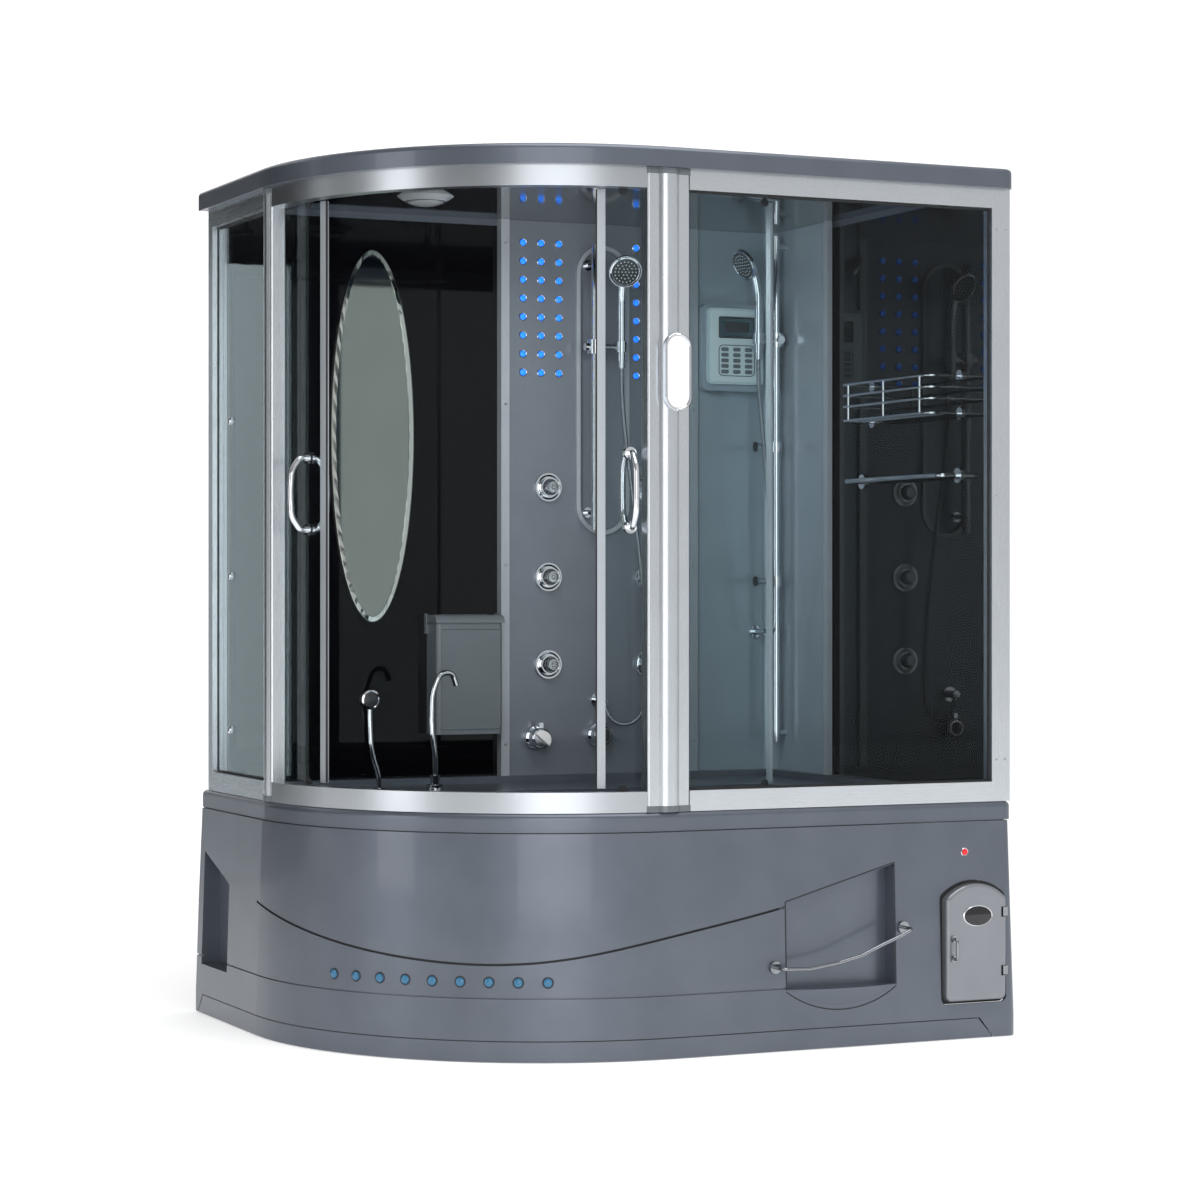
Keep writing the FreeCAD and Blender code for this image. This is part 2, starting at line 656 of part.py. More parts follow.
# ---------------------------------------------------------------- posts, rails, glass
def bowed_post(width, depth, bow_width, low, high):
    """A post profile seen from above, facing -Y: a flat box with a bowed front cover."""
    half, bow = width / 2, bow_width / 2
    front = -depth / 2
    sagitta = dim.post_bow_r - math.sqrt(dim.post_bow_r ** 2 - bow ** 2)
    pts = [Vector(bow, front, 0), Vector(half, front, 0), Vector(half, depth / 2, 0),
           Vector(-half, depth / 2, 0), Vector(-half, front, 0), Vector(-bow, front, 0)]
    edges = [Part.LineSegment(a, b).toShape() for a, b in zip(pts, pts[1:])]
    edges.append(Part.Arc(pts[-1], Vector(0, front - sagitta, 0), pts[0]).toShape())
    solid = Part.Face(Part.Wire(edges)).extrude(Vector(0, 0, high - low))
    solid = solid.makeFillet(5, [e for e in solid.Edges
                                 if e.Length > 100 and abs(abs(e.BoundBox.XMin) - half) < 0.1])
    return solid


def posts():
    low, high = dim.deck_top, dim.roof_bottom
    centre = bowed_post(dim.post_centre_w, dim.post_depth, dim.post_bow_w, low, high)
    made = feature(centre)
    made.Placement.Base = Vector(dim.post_centre_x, FRONT_Y, low)
    piece("post_centre", made)
    left = feature(bowed_post(dim.post_side_w, dim.post_depth, 44, low, high))
    left.Placement = FreeCAD.Placement(Vector(LEFT_X, dim.arc_y, low),
                                       FreeCAD.Rotation(Vector(0, 0, 1), -90))
    piece("post_left", left)
    right = box(("wall_inner_x + glass_thick - post_right_x", "post_depth",
                 "roof_bottom - deck_top"),
                ("post_right_x", f"{FRONT_Y} - post_depth / 2", "deck_top"))
    back = box(("post_depth", "36", "roof_bottom - deck_top"),
               (f"{LEFT_X} - post_depth / 2", "wall_inner_y - 36", "deck_top"))
    piece("wall_profiles", group(right, back))
    at_x, at_y, middle, half_w, half_h = dim.post_centre_x + 13, FRONT_Y - 34, 1656, 36, 95
    straight = half_h - half_w
    plate = Part.makeBox(2 * half_w, 10, 2 * straight,
                         Vector(at_x - half_w, at_y - 10, middle - straight))
    plate = plate.multiFuse([disc(half_w, 10, (at_x, at_y, middle + s * straight), (0, -1, 0))
                             for s in (-1, 1)])
    piece("post_plate", feature(plate.cut(centre.translated(
        Vector(dim.post_centre_x, FRONT_Y, low))).removeSplitter()))


def rails():
    half = "rail_thick / 2"
    front_left = dim.post_centre_x + dim.post_centre_w / 2
    front_length = dim.post_right_x - front_left
    side_low = dim.arc_y + dim.post_side_w / 2
    side_length = dim.wall_inner_y - 36 - side_low
    straight = []
    for z in ("deck_top", f"{RAIL_TOP_BOTTOM}"):
        straight.append(box((front_length, "rail_thick", "rail_depth"),
                            (front_left, f"{FRONT_Y} - {half}", z)))
        straight.append(box(("rail_thick", side_length, "rail_depth"),
                            (f"{LEFT_X} - {half}", side_low, z)))
    piece("straight_rails", group(*straight))
    curved = [sector(f"glass_radius - {half}", f"glass_radius + {half}", z,
                     f"({z}) + rail_depth", 0, 90)
              for z in ("deck_top", f"{RAIL_TOP_BOTTOM}")]
    keep_clear = [box(("post_centre_w", "post_depth + 20", 3000),
                      ("post_centre_x - post_centre_w / 2", f"{FRONT_Y - 32}", -100)),
                  box(("post_depth + 20", "post_side_w", 3000),
                      (f"{LEFT_X - 32}", "arc_y - post_side_w / 2", -100))]
    piece("curved_rails", group(*[cut(c, *keep_clear) for c in curved]))
    tracks = []
    for z in (f"{RAIL_BOTTOM_TOP - 8} - track_h", f"{RAIL_TOP_BOTTOM + 8}"):
        tracks.append(sector("door_radius - track_t / 2", "door_radius + track_t / 2 + 6", z,
                             f"({z}) + track_h", -dim.track_over, 90 + dim.track_over))
    hangers = [sector("door_radius - track_t / 2", "door_radius - track_t / 2 + 8",
                      f"{RAIL_TOP_BOTTOM + 8} + track_h", "ceiling", a, a + 2)
               for a in (-30, 44, 118)]
    seats = [sector("door_radius - track_t / 2", "door_radius - track_t / 2 + 8", "deck_top",
                    f"{RAIL_BOTTOM_TOP - 8} - track_h", a, a + 2) for a in (-30, 44, 118)]
    piece("door_tracks", group(fuse(tracks[0], *seats), fuse(tracks[1], *hangers)))


def fixed_glass():
    low, high = RAIL_BOTTOM_TOP, RAIL_TOP_BOTTOM
    front_left = dim.post_centre_x + dim.post_centre_w / 2
    front = box((dim.post_right_x - front_left, "glass_thick", high - low),
                (front_left, f"{FRONT_Y} - glass_thick / 2", low))
    piece("glass_front", front)
    side_low = dim.arc_y + dim.post_side_w / 2
    side = box(("glass_thick", dim.wall_inner_y - 36 - side_low, high - low),
               (f"{LEFT_X} - glass_thick / 2", side_low, low))
    piece("glass_side", side)


def walls():
    high = "roof_bottom"
    back = box((f"wall_inner_x - ({LEFT_X + 22})", "glass_thick", f"{high} - ledge_top"),
               (f"{LEFT_X + 22}", "wall_inner_y", "ledge_top"))
    piece("back_wall", back)
    right = box(("glass_thick", f"wall_inner_y - ({FRONT_Y}) - post_depth / 2",
                 f"{high} - ledge_top"),
                ("wall_inner_x", f"{FRONT_Y} + post_depth / 2", "ledge_top"))
    piece("right_wall", right)


# ---------------------------------------------------------------- sliding doors
DOOR_LOW = RAIL_BOTTOM_TOP + dim.door_gap
DOOR_HIGH = RAIL_TOP_BOTTOM - dim.door_gap + 6


def stile_angle():
    return math.degrees(dim.door_stile_w / dim.door_radius)


def door(side, lead, trail):
    """One curved sliding door; lead and trail are the angles of its two upright edges."""
    step = stile_angle() if trail > lead else -stile_angle()
    low, high = DOOR_LOW, DOOR_HIGH
    inner, outer = "door_radius - glass_thick / 2", "door_radius + glass_thick / 2"
    glass_from, glass_to = sorted((lead + step, trail - step / 2))
    piece(f"door_{side}_glass", sector(inner, outer, low, high, glass_from, glass_to))
    thick = dim.door_stile_t / 2
    edges = []
    for a, b in ((lead, lead + step), (trail, trail - step / 2)):
        first, last = sorted((a, b))
        edges.append(sector(f"door_radius - {thick}", f"door_radius + {thick - 2}", low, high,
                            first, last))
    piece(f"door_{side}_stiles", group(*edges))
    grip_angle = lead + math.copysign(6.6, step)
    handles = []
    for way, start in ((1, dim.door_radius + 3.2), (-1, dim.door_radius - 3.4)):
        out = lamp_axis(grip_angle) * way
        x, y = arc_points(start, grip_angle)
        foot = Vector(x, y, 0)
        path = []
        for reach, z in ((0, 1282), (22, 1282), (46, 1314), (50, 1372), (46, 1430),
                         (22, 1462), (0, 1462)):
            p = foot + out * reach
            path.append((p.x, p.y, z))
        bow, _ = rod(path, 15, bend=0.4)
        roses = [disc(15, 5, (foot.x, foot.y, z), out) for z in (1282, 1462)]
        handles.append(bow.multiFuse(roses).removeSplitter())
    piece(f"door_{side}_handle", feature(Part.makeCompound(handles)))
    wheels = []
    for z, way in ((DOOR_LOW - 6, -1), (DOOR_HIGH, 1)):
        for angle in (lead + step * 3.1, trail - step * 2.2):
            x, y = arc_points(dim.door_radius + 10, angle)
            wheel = disc(11, 5.5, (x, y, z - way * 3.3), lamp_axis(angle))
            x, y = arc_points(dim.door_radius + 3.2, angle)
            axle = disc(4, 8, (x, y, z - way * 3.3), lamp_axis(angle))
            wheels.append(wheel.fuse(axle))
    piece(f"door_{side}_rollers", feature(Part.makeCompound(wheels)))


# ---------------------------------------------------------------- roof and ceiling
def roof():
    body = doc.addObject("PartDesign::Body", "roof_body")
    outline = plan_sketch(body, "roof_plan", "roof_out", z=dim.roof_bottom)
    pad(body, outline, "overall_height - roof_bottom")
    under = plan_sketch(body, "ceiling_plan", "0 - 24", right="wall_inner_x",
                        back="wall_inner_y", z=dim.roof_bottom)
    pocket(body, under, "ceiling - roof_bottom")
    doc.recompute()

    def top_edge(e):
        return e.BoundBox.ZMin > dim.overall_height - 0.1

    piece("roof", rounded(body, 12, top_edge))


def ceiling_light():
    """A shallow bowl on the ceiling, with a round groove in its face."""
    x, y = -378, 246
    wide, deep = 78, 30
    ball = (wide ** 2 + deep ** 2) / (2 * deep)
    low = dim.ceiling - deep
    bowl = Part.makeSphere(ball, Vector(x, y, low + ball))
    bowl = bowl.common(disc(wide, deep, (x, y, low), (0, 0, 1)))
    groove = disc(54, 14, (x, y, low), (0, 0, 1)).cut(disc(47, 14, (x, y, low), (0, 0, 1)))
    piece("ceiling_light", feature(bowl.cut(groove).removeSplitter()))


# ---------------------------------------------------------------- main column
COLUMN_FACE = dim.wall_inner_y - dim.column_t
MAIN_BAR = (262, 566, 1300, 2102)
GRID_COLUMNS = (60, 115, 170, 410, 465, 520)
GRID_ROWS = [2105 - 52 * i for i in range(8)]
LED_R = 9
JETS = [(x, z) for x in (136, 445) for z in (1420, 1168, 922)]


def main_column():
    slab = Part.makeBox(dim.column_right - dim.column_left, dim.column_t,
                        dim.ceiling - 3 - dim.ledge_top,
                        Vector(dim.column_left, COLUMN_FACE, dim.ledge_top))
    leds = [disc(LED_R + 0.1, 8, (x, COLUMN_FACE - 1, z), (0, 1, 0))
            for x in GRID_COLUMNS for z in GRID_ROWS]
    recess = recess_form(69, 396, COLUMN_FACE - 1, 9)
    slab = slab.cut(Part.makeCompound(leds)).cut(recess)
    piece("main_column", feature(slab.removeSplitter()))
    lamps = [disc(LED_R, 10, (x, COLUMN_FACE + 7, z), (0, -1, 0))
             for x in GRID_COLUMNS for z in GRID_ROWS]
    piece("led_lamps", feature(Part.makeCompound(lamps)))


def recess_form(half_w, half_h, at_y, depth):
    """An upright slot with round ends, centred on the column, for the recess and its rim."""
    x, z = dim.column_middle_x, 1697
    straight = half_h - half_w
    block = Part.makeBox(2 * half_w, depth, 2 * straight, Vector(x - half_w, at_y, z - straight))
    ends = [disc(half_w, depth, (x, at_y, z + s * straight), (0, 1, 0)) for s in (-1, 1)]
    return block.multiFuse(ends).removeSplitter()


def column_trims():
    """Aluminium edge profiles of the column and the chrome rim of its recess."""
    low, high = dim.ledge_top, dim.ceiling - 3
    edges = [Part.makeBox(dim.trim_w, dim.trim_t, high - low,
                          Vector(x, dim.wall_inner_y - dim.trim_t, low))
             for x in (dim.column_left - dim.trim_w, dim.column_right)]
    rim = recess_form(82, 409, COLUMN_FACE - 9, 9).cut(recess_form(70, 397, COLUMN_FACE - 9, 9))
    uprights = [Part.makeBox(14, 26, dim.ceiling - 3 - dim.ledge_top, Vector(
        dim.wall_inner_x - 26, y, dim.ledge_top)) for y in (dim.corner_side_y - 26,)]
    piece("column_trims", feature(Part.makeCompound(edges + [rim] + uprights)))


def body_jets():
    jets = []
    for x, z in JETS:
        ring = disc(40, 9, (x, COLUMN_FACE, z), (0, -1, 0))
        cup = disc(27, 12, (x, COLUMN_FACE - 9, z), (0, -1, 0))
        nose = Part.makeSphere(20, Vector(x, COLUMN_FACE - 20, z))
        jets.append(ring.multiFuse([cup, nose.common(disc(21, 40, (x, COLUMN_FACE - 9, z),
                                                          (0, -1, 0)))]).removeSplitter())
    piece("body_jets", feature(Part.makeCompound(jets)))


KNOBS = {"left": (100, 716), "centre": (291, 721)}


def knobs():
    for name, (x, z) in KNOBS.items():
        grip = disc(30, 34, (x, COLUMN_FACE - 10.3, z), (0, -1, 0))
        grip = grip.makeFillet(8, [e for e in grip.Edges if e.BoundBox.YMax < COLUMN_FACE - 44])
        lever = Part.makeBox(12, 20, 20, Vector(x - 6, COLUMN_FACE - 40, z + 24))
        piece(f"mixer_knob_{name}", feature(grip.fuse(lever).removeSplitter()))


HOSE_OUTLETS = {"main": (291, COLUMN_FACE, 821), "side": (790, COLUMN_FACE, 1011)}


def hose_outlets():
    """Wall elbows where the two hoses start, and the fixed roses behind the mixer knobs."""
    x, y, z = HOSE_OUTLETS["main"]
    made = [disc(22, 6, (x, y, z), (0, -1, 0)).multiFuse([
        disc(11, 45, (x, y, z), (0, -1, 0)), disc(9.5, 15.2, (x, y - 38, z), (11, 0, -33.5))])]
    x, y, z = HOSE_OUTLETS["side"]
    made.append(disc(18, 6, (x, y, z), (0, -1, 0)).fuse(disc(9, 73, (x, y, z), (0, -1, 0))))
    for kx, kz in KNOBS.values():
        made.append(disc(34, 10, (kx, y, kz), (0, -1, 0)))
    piece("hose_outlets", feature(Part.makeCompound([m.removeSplitter() for m in made])))


# ---------------------------------------------------------------- corner panel and control
PANEL_FACE_Y = dim.wall_inner_y - dim.corner_t


def corner_panel():
    high, low = dim.ceiling - 3, dim.ledge_top
    back = Part.makeBox(dim.wall_inner_x - dim.corner_left, dim.corner_t, high - low,
                        Vector(dim.corner_left, PANEL_FACE_Y, low))
    side = Part.makeBox(dim.corner_t, dim.wall_inner_y - dim.corner_side_y, high - low,
                        Vector(dim.wall_inner_x - dim.corner_t, dim.corner_side_y, low))
    ell = back.fuse(side).removeSplitter()
    inside = [e for e in ell.Edges if e.Length > 1000
              and abs(e.BoundBox.XMin - (dim.wall_inner_x - dim.corner_t)) < 0.1
              and abs(e.BoundBox.YMin - PANEL_FACE_Y) < 0.1]
    ell = ell.makeFillet(40, inside)
    block = Part.makeBox(200, 40, 250, Vector(dim.corner_left + 2, PANEL_FACE_Y - 40, 1703))
    block = block.makeFillet(18, [e for e in block.Edges if abs(e.Length - 40) < 0.1])
    bar_feet = []
    for z in (720, 2120):
        bar_feet.append(disc(9, 48, (dim.side_bar_x, dim.side_bar_y, z), (1, 0, 0)).cut(
            disc(dim.side_bar_r + 0.2, 60, (dim.side_bar_x, dim.side_bar_y, z - 30),
                 (0, 0, 1))).common(Part.makeBox(100, 100, 60, Vector(
                     dim.side_bar_x, dim.side_bar_y - 50, z - 30))))
    piece("corner_panel", feature(ell.multiFuse([block] + bar_feet).removeSplitter()))
    face = Part.makeBox(178, 12, 218, Vector(dim.corner_left + 12, PANEL_FACE_Y - 52, 1722))
    face = face.makeFillet(12, [e for e in face.Edges if abs(e.Length - 12) < 0.1])
    piece("control_panel", feature(face))


# ---------------------------------------------------------------- bars, sliders, handsets
MAIN_BAR_R = 13
SIDE_BAR_Z = (694, 2150)


def slide_rails():
    x, y, low, high = MAIN_BAR
    bar = disc(MAIN_BAR_R, high - low, (x, y, low), (0, 0, 1))
    floor = COLUMN_FACE + 8
    feet = [disc(8, floor - y, (x, y, z), (0, 1, 0)) for z in (low + 50, high - 52)]
    roses = [disc(15, 6, (x, floor - 6, z), (0, 1, 0)) for z in (low + 50, high - 52)]
    side = disc(dim.side_bar_r, SIDE_BAR_Z[1] - SIDE_BAR_Z[0],
                (dim.side_bar_x, dim.side_bar_y, SIDE_BAR_Z[0]), (0, 0, 1))
    main = bar.multiFuse(feet + roses).removeSplitter()
    piece("slide_rails", feature(Part.makeCompound([main, side])))


MAIN_HOLDER = (330, 540, 1815)
SIDE_HOLDER = (742, 500, 1850)


def slider(label, bar_x, bar_y, bar_r, holder, knob_way):
    """A clamp that slides on a bar and carries the cradle of a hand shower."""
    hx, hy, z = holder
    clamp = disc(bar_r + 12, 40, (bar_x, bar_y, z - 20), (0, 0, 1))
    arm_way = Vector(hx - bar_x, hy - bar_y, 0)
    arm = Part.makeCylinder(9, arm_way.Length - 6, Vector(bar_x, bar_y, z), arm_way)
    cradle = disc(19, 30, (hx, hy, z - 15), (0, 0, 1))
    knob = disc(11, 34, (bar_x, bar_y, z), knob_way)
    bore = disc(bar_r + 0.06, 200, (bar_x, bar_y, z - 100), (0, 0, 1))
    seat = disc(14.3, 60, (hx, hy, z - 30), (0, 0, 1))
    made = clamp.multiFuse([arm, cradle, knob]).cut(bore).cut(seat)
    piece(label, feature(made.removeSplitter()))


def handset(label, holder, facing):
    """A hand shower: a handle standing in its cradle, and a round head on a bent neck."""
    hx, hy, z = holder
    f = Vector(*facing).normalize()
    foot = Vector(hx, hy, z - 42)
    top = Vector(hx, hy, z + 150)
    head = top + f * 42 + Vector(0, 0, 62)
    neck = [foot, top, head - f * 12 + Vector(0, 0, 6)]
    handle, _ = rod([tuple(p) for p in neck], 27, bend=0.6)
    aim = (f * 0.9 + Vector(0, 0, -0.45)).normalize()
    back = Part.makeCone(22, 46, 20, head - aim * 16, aim)
    face = Part.makeCylinder(46, 9, head + aim * 4, aim)
    nut = disc(11, 18, (hx, hy, z - 60), (0, 0, 1))
    piece(label, feature(handle.multiFuse([back, face, nut]).removeSplitter()))


# The hoses hang free from the handset to the wall elbow. Each route is a list of points.
HOSE_D = 13
MAIN_HOSE = [(330, 540, 1754.9), (330, 540, 1690), (339, 541, 1590), (354, 543, 1480),
             (370, 545, 1370), (386, 547, 1255), (400, 549, 1140), (410, 552, 1030),
             (415, 555, 930), (414, 558, 860), (410, 561, 806), (399, 565, 772.3),
             (370.6, 569, 751.6), (335.4, 573, 751.6), (307, 577, 772.3),
             (296, 580, 805.8)]
SIDE_HOSE = [(742, 500, 1789.9), (742, 500, 1730), (746, 494, 1650), (753, 487, 1545),
             (760, 482, 1440), (767, 479, 1330), (773, 479, 1230), (778, 483, 1150),
             (781, 487, 1105), (782, 490, 1066), (785, 497.4, 1038.5), (788, 517.5, 1018.4),
             (790, 543, 1011.5)]


def hose(label, points):
    solid, radii = rod(points, HOSE_D)
    print(label, "bend radii, mm:", [round(r) for r in radii])
    piece(label, feature(solid))


def swivel_nozzle(label, z):
    """A spray nozzle on a collar that turns about the bar, pointing into the cabin."""
    x, y, r = dim.side_bar_x, dim.side_bar_y, dim.side_bar_r
    collar = disc(r + 7, 30, (x, y, z - 15), (0, 0, 1))
    spout = disc(8, 52, (x, y, z), (-1, 0, 0))
    tip = Part.makeCone(8, 16, 18, Vector(x - 50, y, z), Vector(-1, 0, 0))
    bore = disc(r + 0.06, 60, (x, y, z - 30), (0, 0, 1))
    piece(label, feature(collar.multiFuse([spout, tip]).cut(bore).removeSplitter()))


# ---------------------------------------------------------------- fittings on the walls
def mirror():
    oval = Part.makeCylinder(1, 1, Vector(0, 0, 0), Vector(0, -1, 0))
    size = FreeCAD.Matrix()
    size.scale(Vector(121, 6, 511))
    glass = oval.transformGeometry(size)
    glass.translate(Vector(-383, dim.wall_inner_y, 1554))
    piece("mirror", feature(glass))


def wall_shelf():
    """A wire basket on the right wall: three guard rails, a floor of rods and two ends."""
    x0, x1, y0, y1 = 768, 868, -400, 60
    rods = []
    for z in (1690, 1660, 1630, 1592):
        path = [(x1, y0, z), (x0, y0, z), (x0, y1, z), (x1, y1, z)]
        rods.append(rod(path, 7, radius=24)[0])
    for y in (-360, -170, 20):
        rods.append(disc(3.5, 98, (x0, y, 1690), (0, 0, -1)))
    for x in (790, 812, 834):
        rods.append(disc(2.5, y1 - y0, (x, y0, 1592), (0, 1, 0)))
    roses = [disc(16, 5, (x1, y, z), (-1, 0, 0)) for y in (y0, y1) for z in (1690, 1592)]
    made = rods[0].multiFuse(rods[1:] + roses)
    piece("wall_shelf", feature(made.removeSplitter()))


def towel_rail():
    x, y0, y1, z = 810, -393, 114, 1430
    bar, _ = rod([(868, y0, z), (x, y0, z), (x, y1, z), (868, y1, z)], 14, radius=16)
    roses = [disc(20, 6, (868, y, z), (-1, 0, 0)) for y in (y0, y1)]
    piece("towel_rail", feature(bar.multiFuse(roses).removeSplitter()))


BOX = (-221, -24, 560, 733, 1040)
LID_AXIS = (630, 1058)


def storage_box():
    """A lidded bin on the back wall: an open box and a lid that tips up about its back edge."""
    x0, x1, y0, z0, z1 = BOX
    depth = dim.wall_inner_y - y0
    outer = Part.makeBox(x1 - x0, depth, z1 - z0, Vector(x0, y0, z0))
    outer = outer.makeFillet(12, [e for e in outer.Edges if e.Length > 250
                                  and e.BoundBox.YMax < y0 + 1])
    inner = Part.makeBox(x1 - x0 - 8, depth - 8, z1 - z0, Vector(x0 + 4, y0 + 4, z0 + 5))
    axis_y, axis_z = LID_AXIS
    ears = []
    for ear_x, foot_x in ((x0 - 8, x0 - 8), (x1 + 4.3, x1)):
        ears.append(Part.makeBox(3.7, 13.9, 56, Vector(ear_x, 622, 1010)))
        ears.append(Part.makeBox(8, 13.9, 26, Vector(foot_x, 622, 1010)))
    pin = disc(2, x1 - x0 + 16, (x0 - 8, axis_y, axis_z), (1, 0, 0))
    piece("storage_box", feature(outer.cut(inner).multiFuse(ears + [pin]).removeSplitter()))
    half = Part.makeCylinder(22, x1 - x0 + 8, Vector(x0 - 4, y0 + 18, z1 + 0.5),
                             Vector(1, 0, 0))
    top = Part.makeBox(x1 - x0 + 8, depth - 24, 22, Vector(x0 - 4, y0 + 18, z1 + 0.5))
    lid = half.fuse(top).common(Part.makeBox(400, depth + 40, 60,
                                             Vector(x0 - 60, y0 - 40, z1 + 0.5)))
    barrel = disc(5.5, x1 - x0 - 40, (x0 + 20, axis_y, axis_z), (1, 0, 0))
    bore = disc(2.1, 300, (x0 - 50, axis_y, axis_z), (1, 0, 0))
    piece("storage_lid", feature(lid.fuse(barrel).cut(bore).removeSplitter()))


TUB_SPOUT = (-298, 380)
DECK_TAP = (-458, 380)


def deck_fittings():
    x, y = TUB_SPOUT
    z = dim.deck_top
    neck, _ = rod([(x, y, z + 14.3), (x, y, z + 90), (x - 10, y, z + 170),
                   (x - 8, y, z + 260), (x + 14, y, z + 312), (x + 50, y, z + 316),
                   (x + 62, y, z + 280)], 16, bend=0.42)
    collar = disc(14, 26, (x, y, z + 14.3), (0, 0, 1))
    piece("tub_spout", feature(neck.fuse(collar).removeSplitter()))
    tx, ty = DECK_TAP
    stem, _ = rod([(tx, ty, z), (tx, ty, z + 40), (tx - 22, ty, z + 110),
                   (tx - 26, ty, z + 190), (tx - 26, ty, z + 238)], 13, bend=0.42)
    head = disc(26, 20, (tx - 26, ty + 10, z + 245), (0, -1, 0))
    rose = disc(22, 8, (tx, ty, z), (0, 0, 1))
    foot = disc(24, 14, (x, y, z), (0, 0, 1))
    tap = stem.multiFuse([head, rose]).removeSplitter()
    piece("deck_tap", feature(Part.makeCompound([tap, foot])))


# ---------------------------------------------------------------- build
apron()
apron_lamps()
tub_shell()
base_frame()
levelling_feet()
waste_trap()
steam_generator()
water_inlets()
apron_rail()
cooler()
posts()
rails()
fixed_glass()
walls()
door("right", dim.door_rest_right, dim.door_rest_right - dim.door_angle)
door("left", dim.door_rest_left, dim.door_rest_left + dim.door_angle)
roof()
ceiling_light()
main_column()
column_trims()
body_jets()
knobs()
hose_outlets()
corner_panel()
slide_rails()
slider("slider_main", MAIN_BAR[0], MAIN_BAR[1], MAIN_BAR_R, MAIN_HOLDER, (-1, 0, 0))
slider("slider_side", dim.side_bar_x, dim.side_bar_y, dim.side_bar_r, SIDE_HOLDER, (0, -1, 0))
handset("handset_main", MAIN_HOLDER, (-0.25, -1, 0))
handset("handset_side", SIDE_HOLDER, (-1, -0.15, 0))
hose("hose_main", MAIN_HOSE)
hose("hose_side", SIDE_HOSE)
swivel_nozzle("nozzle_upper", 1543)
swivel_nozzle("nozzle_lower", 1157)
mirror()
wall_shelf()
towel_rail()
storage_box()
deck_fittings()
doc.recompute()

# ---------------------------------------------------------------- check and export
broken = [o.Label for o in doc.Objects if "Invalid" in o.State or "Error" in o.State]
if broken:
    raise RuntimeError(f"objects that did not compute: {broken}")
for made in pieces:
    if made.Shape.isNull() or not made.Shape.isValid() or not made.Shape.Solids:
        raise RuntimeError(f"{made.Label} has no valid solid")
for made in pieces:
    made.Shape.exportStep(f"parts/{made.Label}.step")
whole = FreeCAD.BoundBox()
for made in pieces:
    whole.add(made.Shape.optimalBoundingBox(False, False))
print(len(pieces), "pieces; overall", [round(v, 1) for v in (
    whole.XMin, whole.XMax, whole.YMin, whole.YMax, whole.ZMin, whole.ZMax)])
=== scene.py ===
# %% [markdown]
# A steam shower cabin: a corner bath under a glass enclosure with curved sliding doors.
# The solid model comes in as a fixed frame. This lesson gives its pieces their finishes,
# and adds the small things that a solid model leaves plain: wound hoses, spray faces, lamp
# lenses, keys, seals, clamps and screws.

# %% Load the frame
import math
import bmesh
import bpy
from mathutils import Matrix, Vector
from mathutils.bvhtree import BVHTree


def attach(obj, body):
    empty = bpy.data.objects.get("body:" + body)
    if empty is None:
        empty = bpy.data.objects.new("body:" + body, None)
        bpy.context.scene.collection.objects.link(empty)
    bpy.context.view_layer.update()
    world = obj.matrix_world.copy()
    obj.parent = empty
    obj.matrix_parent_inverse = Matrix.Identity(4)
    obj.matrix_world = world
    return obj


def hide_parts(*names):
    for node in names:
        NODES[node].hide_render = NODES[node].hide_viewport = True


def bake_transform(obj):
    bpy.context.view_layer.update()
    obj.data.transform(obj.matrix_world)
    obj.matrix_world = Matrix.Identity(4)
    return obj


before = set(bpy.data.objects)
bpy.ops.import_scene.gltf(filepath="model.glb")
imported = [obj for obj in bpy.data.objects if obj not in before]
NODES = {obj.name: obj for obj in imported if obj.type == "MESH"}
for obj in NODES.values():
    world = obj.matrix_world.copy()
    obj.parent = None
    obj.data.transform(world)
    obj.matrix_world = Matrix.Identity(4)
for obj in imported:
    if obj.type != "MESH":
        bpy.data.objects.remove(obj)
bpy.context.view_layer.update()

# %% [markdown]
# The photograph was taken from the front left, from the height of a person's chest, with a
# long lens. A level camera with a small vertical shift keeps the posts upright, as they are
# there.

# %% Camera
def shown(name, data):
    """A new object in the scene for a mesh, a curve, a lamp or the camera."""
    made = bpy.data.objects.new(name, data)
    bpy.context.scene.collection.objects.link(made)
    return made


camera_data = bpy.data.cameras.new("photo_camera")
camera_data.lens = 93.08
camera_data.sensor_width = 36.0
camera_data.shift_y = -0.0058
camera_data.clip_end = 60.0
camera = shown("photo_camera", camera_data)
camera.location = (-3.3633, -7.3528, 1.1227)
camera.rotation_euler = (math.radians(90), 0.0, math.radians(-24.61))
bpy.context.scene.camera = camera
print("camera at", tuple(round(v, 3) for v in camera.location))

# %% [markdown]
# Two helpers serve every material and every node tree below. Paint charts and screens give
# colours as sRGB hex values, and the renderer wants linear light, so one function converts
# them. The other adds one node, sets it up and wires its inputs.


# %% Helpers for colours and nodes
def linear(code, alpha=1.0):
    """An sRGB hex colour such as #767C84 as linear light."""
    steps = [int(code[i:i + 2], 16) / 255 for i in (1, 3, 5)]
    return [s / 12.92 if s <= 0.04045 else ((s + 0.055) / 1.055) ** 2.4 for s in steps] + [alpha]


def add(tree, kind, wires=(), **settings):
    """One node of a kind, with attributes set by name and inputs from (socket, value) pairs.

    A socket as value is linked, and so is a node's first output; the rest is typed in.
    """
    node = tree.nodes.new(kind)
    for name, value in settings.items():
        setattr(node, name, value)
    for socket, value in wires:
        if isinstance(value, bpy.types.Node):
            value = value.outputs[0]
        if isinstance(value, bpy.types.NodeSocket):
            tree.links.new(value, node.inputs[socket])
        else:
            node.inputs[socket].default_value = value
    return node


# %% [markdown]
# Most finishes here share one build. A noise in real millimetres drives the roughness, the
# colour varies a little with a slower noise, and a fine bump breaks up reflections, because
# no moulded, brushed or lacquered surface is perfectly even. The noise is stretched where a
# tool has run along the piece. Metals keep the default index of refraction.


